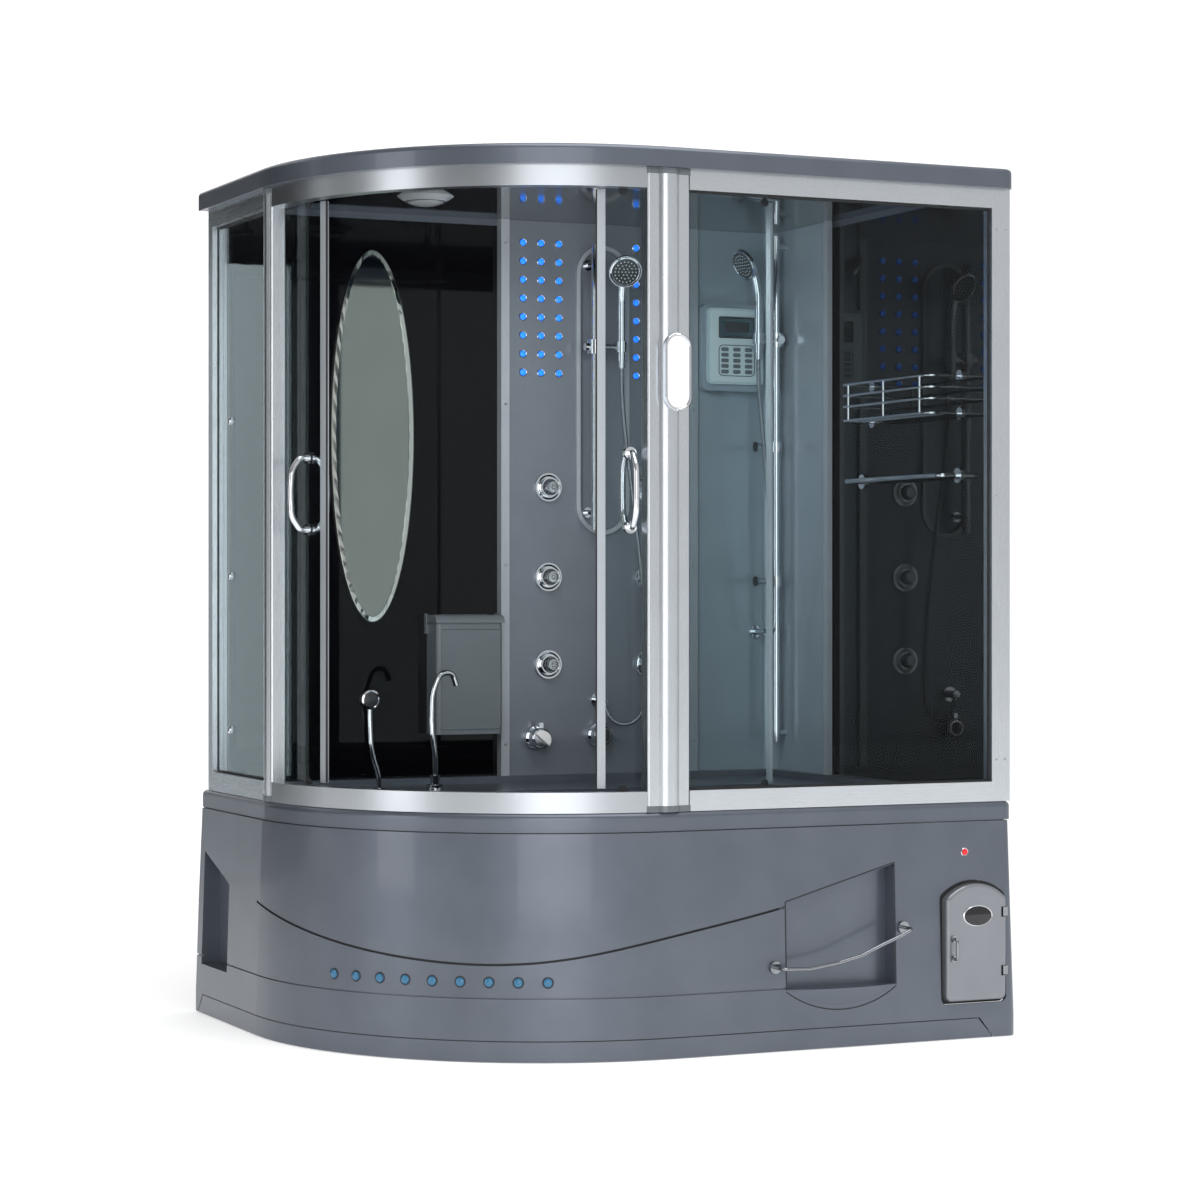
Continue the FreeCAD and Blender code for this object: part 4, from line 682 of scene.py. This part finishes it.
# %% Control panel
PANEL = (704, 566, 1831)
DISPLAY = (706, 565.2, 1885)
KEYS = (706, 565.2, 1790)
stand(plate("panel_membrane", 82, 102, 9, [(0, -0.5), (0, 0.5), (0.5, 0.9), (2, 1.0)],
            key_pad), PANEL)
stand(plate("display_bezel", 58, 31, 5, [(0, 0), (0, 2.2), (1.2, 3), (4, 3), (5, 1.2),
                                         (5, 0)], dark_plastic, hollow=True),
      DISPLAY)
stand(plate("display_window", 53, 26, 2, [(0, 0), (0, 1.4), (0.6, 1.8)], lcd), DISPLAY)
stand(plate("display_pad", 39, 15, 1, [(0, 1.7), (0, 2.0), (0.3, 2.1)], dark_plastic),
      (706, 565.2, 1886))
stand(plate("key_rim", 58, 45, 14, [(0, 0), (0, 0.9), (0.6, 1.3), (1.6, 1.3), (2.2, 0.9),
                                    (2.2, 0)], dark_plastic, hollow=True), KEYS)
stamp("panel_keys", plate("panel_key", 12, 5.6, 4.5, [(0, 0), (0, 1.4), (0.6, 2.2),
                                                      (2, 2.5)], grey_abs),
      [(KEYS[0] + 38 * across, KEYS[1], KEYS[2] + 16 * up) for across in (-1, 0, 1)
       for up in (2, 1, 0, -1, -2)], (706, FAR, 1790))

# %% [markdown]
# The mirror's edge is ground into small facets that catch the light one by one.

# %% Mirror edge and wall plates
FACETS = 120
bevel_mesh = bmesh.new()
rings = []
for inset, lift, bite in ((1, 0.1, 0), (2, 0.9, 0), (13, 1.8, 2.2), (14, 0.1, 2.2)):
    ring = []
    for k in range(FACETS):
        a = 2 * math.pi * k / FACETS
        pull = inset + bite * (k % 2)
        ring.append(((121 - pull) * math.cos(a), (511 - pull) * math.sin(a), lift))
    rings.append(ring)
loft(bevel_mesh, rings, hollow=True)
bevel_glass = finish("ground_mirror_edge", "#C9CCC8", metallic=1.0, roughness=0.06,
                     swing=0.02, grain_mm=30.0, shade="#BFC3BE")
bevel = as_piece("mirror_edge", bevel_mesh, bevel_glass)
for polygon in bevel.data.polygons:
    polygon.use_smooth = False
stand(bevel, (-383, 630, 1554))

POST_PLATE = (-77, -654, 1656)
COOLER_OVAL = (752, -674, 311)
stand(plate("post_plate_rim", 35, 94, 35, [(0, 0), (0, 2), (1, 3), (4, 3), (5.4, 1.6),
                                           (5.4, 0)], chrome, hollow=True), POST_PLATE)
stand(plate("post_plate_face", 28, 87, 28, [(0, 0), (0, 1), (0.8, 1.8), (3, 2)],
            white_cap), POST_PLATE)
stand(turned("cooler_oval", [(20, 0), (20, 1), (18.6, 1.9), (0.4, 2.4)], black_acrylic, 48,
             across=(2, 1.2)), COOLER_OVAL, body="cooler_door")
stand(turned("cooler_oval_rim", [(20.2, 0), (20.2, 1.6), (21, 2), (21.9, 1), (22, 0)], chrome,
             48, hollow=True, across=(1.95, 1.2)), COOLER_OVAL, body="cooler_door")

# %% [markdown]
# The knobs have a cap over the screw: a white half moon on the left one, a dark disc on the
# other. The ceiling light has a dark groove, the deck tap a fluted ring, the storage box a
# raised rim, and the tub's waste a strainer.

# %% Caps, rings and strainer
moon = bmesh.new()
half_moon = [(26 * math.cos(math.radians(a - 40)), 26 * math.sin(math.radians(a - 40)))
             for a in range(0, 181, 9)]
loft(moon, [[(x * k, 3 + (y - 3) * k, h) for x, y in half_moon]
            for k, h in ((1, 0), (1, 6.4), (0.96, 7.6), (0.88, 8))])
stand(as_piece("left_knob_cap", moon, white_cap), (100, 573.7, 712), body="knob_left")
stand(turned("centre_knob_cap", [(19, 0), (19, 1.4), (17.6, 2.2), (0.4, 2.6)], dark_plastic,
             32), (291, 573.7, 721), body="knob_centre")
CEILING_LIGHT = (-378, 246, 2153.8)
DECK_TAP = (-484, 370, 839)
WASTE = (300, 100)
stand(turned("ceiling_light_groove", [(47.4, 0), (47.4, 2), (53.6, 2), (53.6, 0)],
             dark_plastic, 64, hollow=True), CEILING_LIGHT, (0, 0, -1))
stand(turned("deck_tap_face", [(20, 0), (20, 1.2), (18.6, 2), (0.4, 2.4)], dark_plastic, 32),
      DECK_TAP)
stand(turned("deck_tap_ring", [(20.4, -2), (20.4, 2), (22, 3), (26.4, 1.4), (26.6, -2)],
             chrome, 48, hollow=True, flute=0.8), DECK_TAP)
stand(plate("storage_front_rim", 90, 140, 10, [(0, 0), (0, 1.4), (1, 2), (3, 2), (4, 1.4),
                                               (4, 0)], grey_abs, hollow=True),
      (-122, 560, 886))
stand(turned("waste_strainer", [(33, 0), (33, 1), (31, 2.2), (0.4, 3)], chrome, 48),
      (*WASTE, 174), (0, 0, 1))
stamp("waste_holes", turned("waste_hole", [(2.6, 0), (2.6, 0.5), (2.2, 0.6)], gasket, 12),
      [(WASTE[0] + r * math.cos(2 * math.pi * k / n),
        WASTE[1] + r * math.sin(2 * math.pi * k / n), 176.5)
       for n, r in ((6, 10), (12, 20)) for k in range(n)], (*WASTE, -FAR))

# %% [markdown]
# Posts end in moulded caps that follow their bowed outline. Soft black gaskets hold the
# fixed panes, a slim seal runs down each door's closing edge, and small clamps hold the
# side pane.


# %% Caps, gaskets and seals
def post_caps(name, half, bow, centre, turn_deg):
    """Two caps round a bowed post, at its foot and at its head."""
    grow_by, depth = 1.5, 20
    reach = 35 + grow_by
    middle = math.sqrt(35 ** 2 - bow ** 2) - depth
    swing = math.degrees(math.asin((bow + grow_by) / reach))
    shape = [(half + grow_by, depth + grow_by), (-half - grow_by, depth + grow_by),
             (-half - grow_by, -depth - grow_by)]
    for k in range(-8, 9):
        a = math.radians(swing * k / 8)
        shape.append((reach * math.sin(a), middle - reach * math.cos(a)))
    shape.append((half + grow_by, -depth - grow_by))
    turn = Matrix.Rotation(math.radians(turn_deg), 3, "Z")
    shape = [turn @ Vector((x, y, 0)) for x, y in shape]
    bm = bmesh.new()
    for low, high in ((594.3, 609), (2135, 2149.7)):
        loft(bm, [[(centre[0] + v.x * k, centre[1] + v.y * k, z) for v in shape]
                  for k, z in ((1, low), (1, high - 1), (0.985, high))])
    in_place(name, bm, grey_abs)


post_caps("post_centre_caps", 56, 27, (-90, -610), 0)
post_caps("post_left_caps", 30, 22, (-830, 140), -90)


def strips(name, boxes):
    """Slim soft bars with softened edges between given corners, as one piece."""
    bm = bmesh.new()
    for low, high in boxes:
        size = [b - a for a, b in zip(low, high)]
        soft = min(size) * 0.25
        x0, y0, z0 = low
        x1, y1, z1 = high
        layers = [(soft, z0), (0, z0 + soft), (0, z1 - soft), (soft, z1)]
        loft(bm, [[(x0 + i, y0 + i, z), (x1 - i, y0 + i, z), (x1 - i, y1 - i, z),
                   (x0 + i, y1 - i, z)] for i, z in layers])
    in_place(name, bm, gasket)


PANE_LOW, PANE_HIGH = (644, 649), (2095, 2100)
strips("front_pane_gasket",
       [((-34, -616, low), (821, -613, high)) for low, high in (PANE_LOW, PANE_HIGH)]
       + [((x, -616, PANE_LOW[1]), (x + 4, -613, PANE_HIGH[0])) for x in (-34, 817)]
       + [((-34, -607, low), (821, -604, high)) for low, high in (PANE_LOW, PANE_HIGH)])
strips("side_pane_gasket",
       [((x, 170, low), (x + 3, 600, high)) for x in (-836, -827)
        for low, high in (PANE_LOW, PANE_HIGH)]
       + [((-836, y, PANE_LOW[1]), (-833, y + 4, PANE_HIGH[0])) for y in (170, 596)])


def door_seal(name, start, end, body):
    """A slim seal along a door's closing edge, on the door's own curve."""
    bm = bmesh.new()
    loft(bm, [[on_arc(r, a, z) for r, a in ((709.5, start), (714.5, start), (713.5, end),
                                            (710.5, end))]
              for z in (651, 652, 2098, 2099)])
    in_place(name, bm, gasket, body)


door_seal("door_right_seal", 13.5, 13.72, "door_right")
door_seal("door_left_seal", 73.5, 73.28, "door_left")

CLAMP_SPOTS = [(-833, 502, z) for z in (1578, 1168, 760)]
clamp = [(10, -0.5), (10, 2), (8.6, 3.6), (5, 4.6), (0.4, 5)]
stamp("side_clamps_outside", turned("side_clamp_out", clamp, chrome, 24), CLAMP_SPOTS,
      (FAR, 502, 1168))
stamp("side_clamps_inside", turned("side_clamp_in", clamp, chrome, 24),
      [(-827, y, z) for _, y, z in CLAMP_SPOTS], (-FAR, 502, 1168))

# %% [markdown]
# Black beads close the slits between the big mouldings: under the tub's rim, over the loose
# plinth strip and at its slanted ends, and round the cooler's leaf. Without them daylight
# from behind would draw a white line there.


# %% Beads in the slits
def bead_round(name, front_x, side_y, inner, outer, low, high):
    """A bead that follows the cabin's plan, between two offsets from the glass line."""
    def line(out):
        radius = GLASS_RADIUS + out
        bow = [on_arc(radius, a, 0)[:2] for a in range(0, 91, 3)]
        return [(front_x, ARC[1] - radius), *bow, (ARC[0] - radius, side_y)]
    bm = bmesh.new()
    loft(bm, [[(*b, low), (*b, high), (*a, high), (*a, low)]
              for a, b in zip(line(inner), line(outer))])
    in_place(name, bm, gasket)


bead_round("tub_rim_bead", 848, 650, 21, 27.6, 546.2, 547.8)
bead_round("plinth_bead", 762, 588, 43.5, 48.6, 50.8, 52.8)
slants = bmesh.new()
for start, outside, at_front in ((764, -658.4, True), (590.5, -878.4, False)):
    edge = [(start, 52.8), (start + 2.4, 52.8), (start + 48.6, 2.4), (start + 46.2, 2.4)]
    loft(slants, [[(u, depth, z) if at_front else (depth, u, z) for u, z in edge]
                  for depth in (outside, outside + 5.2)])
in_place("plinth_end_beads", slants, gasket)


def cooler_outline(grow, y):
    """The cooler's outline, wider by an allowance: an arched top and round lower corners."""
    half, low, high, corner, rise, middle = 87 + grow, 97 - grow, 392 + grow, 16, 38, 750
    bow = (half ** 2 + rise ** 2) / (2 * rise)
    swing = math.asin(half / bow)
    points = [(middle + bow * math.sin(swing * k / 12), y,
               high - bow + bow * math.cos(swing * k / 12)) for k in range(12, -13, -1)]
    for side, start in ((-1, 180), (1, 270)):
        for k in range(6):
            a = math.radians(start + 18 * k)
            points.append((middle + side * (half - corner) + corner * math.cos(a), y,
                           low + corner + corner * math.sin(a)))
    return points


gasket_mesh = bmesh.new()
loft(gasket_mesh, [cooler_outline(grow, y) for grow, y in (
    (7.7, -647.8), (7.7, -646.2), (-3, -646.2), (-3, -647.8))], hollow=True)
in_place("cooler_gasket", gasket_mesh, gasket)

# %% [markdown]
# The apron's edges get painted shade: the niche's rim, the curve of the bowl-shaped
# ledge under it, and the bottom of the long curved groove. A thin dark line of painted
# shade is laid along each. The apron leans and bends, so every point of a line is felt
# out with a ray.

# %% Painted shade lines on the apron
apron_skin = BVHTree.FromObject(NODES["apron"], bpy.context.evaluated_depsgraph_get())
BACKWARD = Vector((0, 1, 0))
SLANT = Vector((1, 1, 0)).normalized()
ALONG = Vector((1, -1, 0)).normalized()


def skin_point(start, way):
    """Where a ray from a point, in the drawing's millimetres, meets the apron."""
    hit = apron_skin.ray_cast(Vector(start) / 1000 + SHIFT, way)[0]
    return (hit - SHIFT) * 1000


def painted_shade_line(name, paths, half_width, way, proud, sunk):
    """Slim dark bars of painted shade on the apron along paths of (point, width direction)
    pairs.
    """
    bm = bmesh.new()
    for path in paths:
        loft(bm, [[p + side * half_width - way * proud, p - side * half_width - way * proud,
                   p - side * half_width + way * sunk, p + side * half_width + way * sunk]
                  for p, side in path])
    # The painted shade lines take the black gasket material.
    in_place(name, bm, gasket)


def face_path(corners, spacing=20):
    """Points on the apron's front face along straight (x, z) legs, with width directions."""
    path = []
    for (x0, z0), (x1, z1) in zip(corners, corners[1:]):
        run = Vector((x1 - x0, 0, z1 - z0))
        side = Vector((-run.z, 0, run.x)).normalized()
        count = max(2, round(run.length / spacing))
        path += [(skin_point((x0 + run.x * k / count, -800, z0 + run.z * k / count),
                             BACKWARD), side) for k in range(count + 1)]
    return path


NICHE_LEFT, NICHE_RIGHT, NICHE_FLOOR = 216.8, 525.2, 149
LEDGE_X, LEDGE_Z, LEDGE_RADIUS = 371, 358, 263
# Painted shade along the niche's rim.
painted_shade_line("niche_edges", [face_path([(NICHE_RIGHT, NICHE_FLOOR), (NICHE_RIGHT, 451)]),
                          face_path([(NICHE_LEFT, 365.5), (NICHE_RIGHT, 451.4)]),
                          face_path([(NICHE_LEFT, NICHE_FLOOR), (NICHE_LEFT, 365)])],
          1.4, BACKWARD, 0.7, 1)
# Painted shade along the curve of the bowl-shaped ledge.
bowl_curve = [(LEDGE_X + LEDGE_RADIUS * math.sin(math.radians(a)),
               LEDGE_Z - LEDGE_RADIUS * math.cos(math.radians(a))) for a in range(-36, 37, 4)]
painted_shade_line("ledge_curve", [face_path(bowl_curve)], 1.4, BACKWARD, 0.7, 1)

GROOVE = [(-1105, 342), (-858, 287), (-519, 242), (-205, 248), (47, 304), (241, 357)]


def groove_point(t, guess):
    """The groove's bottom at t along the diagonal, near a guessed height."""
    start = Vector((ARC[0], ARC[1] - GLASS_RADIUS, 0)) + ALONG * t - SLANT * 1200
    felt = [skin_point(start + Vector((0, 0, guess + k / 2)), SLANT) for k in range(-50, 51)]
    level = sorted(p.dot(SLANT) for p in felt)[len(felt) // 2]
    shallowest, deepest = 2.5, 12
    deep = [p for p in felt if shallowest < p.dot(SLANT) - level < deepest]
    return sum(deep, Vector()) / len(deep) if deep else None


groove_path = []
for (t0, z0), (t1, z1) in zip(GROOVE, GROOVE[1:]):
    steps = round((t1 - t0) / 16)
    felt = [groove_point(t0 + (t1 - t0) * k / steps, z0 + (z1 - z0) * k / steps)
            for k in range(steps)]
    groove_path += [(point, Vector((0, 0, 1))) for point in felt if point]
print("groove felt at", len(groove_path), "points, from", groove_path[0][0], "to",
      groove_path[-1][0])
# A dark line of painted shadow along the groove's bottom.
painted_shade_line("groove_shadow", [groove_path], 2.4, SLANT, 1.4, 0.6)

# %% [markdown]
# Screws with domed heads hold the wall profiles and the column's edge profiles.

# %% Screws
screw = [(3.6, -0.3), (3.5, 0.8), (2.6, 1.8), (1.2, 2.2), (0.3, 2.3)]
stamp("profile_screws", turned("profile_screw", screw, stainless, 16),
      [(x, -630, z) for x in (834, 860) for z in (700, 1372, 2046)], (847, FAR, 1372))
stamp("trim_screws", turned("trim_screw", screw, stainless, 16),
      [(x, 606, z) for x in (2.5, 589.5) for z in (700, 1200, 1650, 2100)], (300, FAR, 1400))

# %% [markdown]
# The ceiling is lined with gloss black sheet inside the roof's rim.

# %% Ceiling
ceiling_outline = [(867, 635), (-805, 635)]
ceiling_outline += [on_arc(725, a, 0)[:2] for a in range(90, -1, -3)]
ceiling_outline += [(838 + 29 * math.sin(math.radians(a)),
                     -556 - 29 * math.cos(math.radians(a))) for a in range(0, 91, 15)]
ceiling_mesh = bmesh.new()
loft(ceiling_mesh, [[(x, y, z) for x, y in ceiling_outline] for z in (2167.4, 2169.8)])
in_place("ceiling_lining", ceiling_mesh, black_acrylic)

# %% [markdown]
# Floor and light. The floor is a plain pale sweep that rises behind the cabin. Large soft
# lamps stand in front, to the left and above. Their light enters the cabin through the
# glass, and a weak lamp under the roof helps, as the cabin's own light does. A dark card
# behind the left side is hidden from the camera: the side's rails mirror it and stay dark,
# as in the photograph. A narrow pale card in front of it gives the side pane its grey sheen.

# %% Studio
sweep_shape = [(-14, 0), (5, 0)]
sweep_shape += [(5 + 2.5 * math.sin(math.radians(a)), 2.5 - 2.5 * math.cos(math.radians(a)))
                for a in range(10, 91, 10)]
sweep_shape.append((7.5, 9.0))
sweep_mesh = bpy.data.meshes.new("floor_sweep")
sweep_mesh.from_pydata([(x, y, z) for y, z in sweep_shape for x in (-16, 18)], [],
                       [(2 * i, 2 * i + 1, 2 * i + 3, 2 * i + 2)
                        for i in range(len(sweep_shape) - 1)])
sweep = shown("floor_sweep", sweep_mesh)
for polygon in sweep_mesh.polygons:
    polygon.use_smooth = True
floor_paint = finish("matt_white_floor_paint", "#FAFAFA", roughness=0.8, swing=0.05,
                     grain_mm=20.0, bump_mm=0.0, shade="#F8F8F8", glow=0.3)
sweep_mesh.materials.append(floor_paint)

world = bpy.data.worlds.new("studio")
bpy.context.scene.world = world
world.use_nodes = True
background = world.node_tree.nodes["Background"]
background.inputs["Color"].default_value = (1.0, 1.0, 1.0, 1.0)
sky = add(world.node_tree, "ShaderNodeTexCoord")
sideways = add(world.node_tree, "ShaderNodeSeparateXYZ", [("Vector", sky)])
falloff = add(world.node_tree, "ShaderNodeMapRange",
              [("Value", sideways.outputs["X"]), ("From Min", -0.9), ("From Max", 0.3),
               ("To Min", 0.25), ("To Max", 0.75)])
world.node_tree.links.new(falloff.outputs["Result"], background.inputs["Strength"])


def card(name, left, right, y, top, material):
    """An upright card behind the cabin that the camera doesn't see."""
    data = bpy.data.meshes.new(name)
    data.from_pydata([(left, y, 0.02), (right, y, 0.02), (right, y, top), (left, y, top)],
                     [], [(0, 1, 2, 3)])
    data.materials.append(material)
    piece = shown(name, data)
    piece.visible_camera = False


card("dark_card", -9, -1.6, 5.2, 4.5, finish("black_card", "#0A0A0B", roughness=0.9,
                                             swing=0.04, grain_mm=10.0, bump_mm=0.0))
card("pale_card", -2.62, -2.08, 5.1, 2.5, finish("pale_grey_card", "#D8E2E8", roughness=0.9,
                                                 swing=0.04, grain_mm=10.0, bump_mm=0.0,
                                                 glow=0.12))


def soft_lamp(name, place, aim, wide, high, power, mirrored=True):
    """A soft box that faces a point; it may be kept out of mirror reflections."""
    data = bpy.data.lights.new(name, "AREA")
    data.shape = "RECTANGLE"
    data.size = wide
    data.size_y = high
    data.energy = power
    lamp = shown(name, data)
    lamp.location = place
    lamp.rotation_euler = (Vector(aim) - Vector(place)).to_track_quat("-Z", "Y").to_euler()
    lamp.visible_glossy = mirrored
    lamp.visible_camera = False


soft_lamp("front_left_box", (-4.5, -5.5, 3.6), (0, 0, 0.9), 2.6, 2.6, 150, mirrored=False)
soft_lamp("front_strip", (-2.5, -6.4, 1.7), (-0.1, -0.6, 1.1), 3.2, 3.2, 80)
soft_lamp("left_strip", (-5.6, -1.1, 1.7), (-0.6, 0, 1.1), 1.5, 3.0, 38)
soft_lamp("front_right_box", (4.0, -5.2, 2.2), (0.4, 0, 1.2), 2.0, 2.6, 90, mirrored=False)
soft_lamp("top_box", (0.0, -1.5, 5.2), (0, 0, 1.0), 3.5, 3.5, 110)
soft_lamp("cabin_fill", (-0.1, -0.2, 2.1), (0.45, 0.6, 1.1), 0.7, 0.7, 14, mirrored=False)

bpy.context.scene.view_settings.view_transform = "Standard"
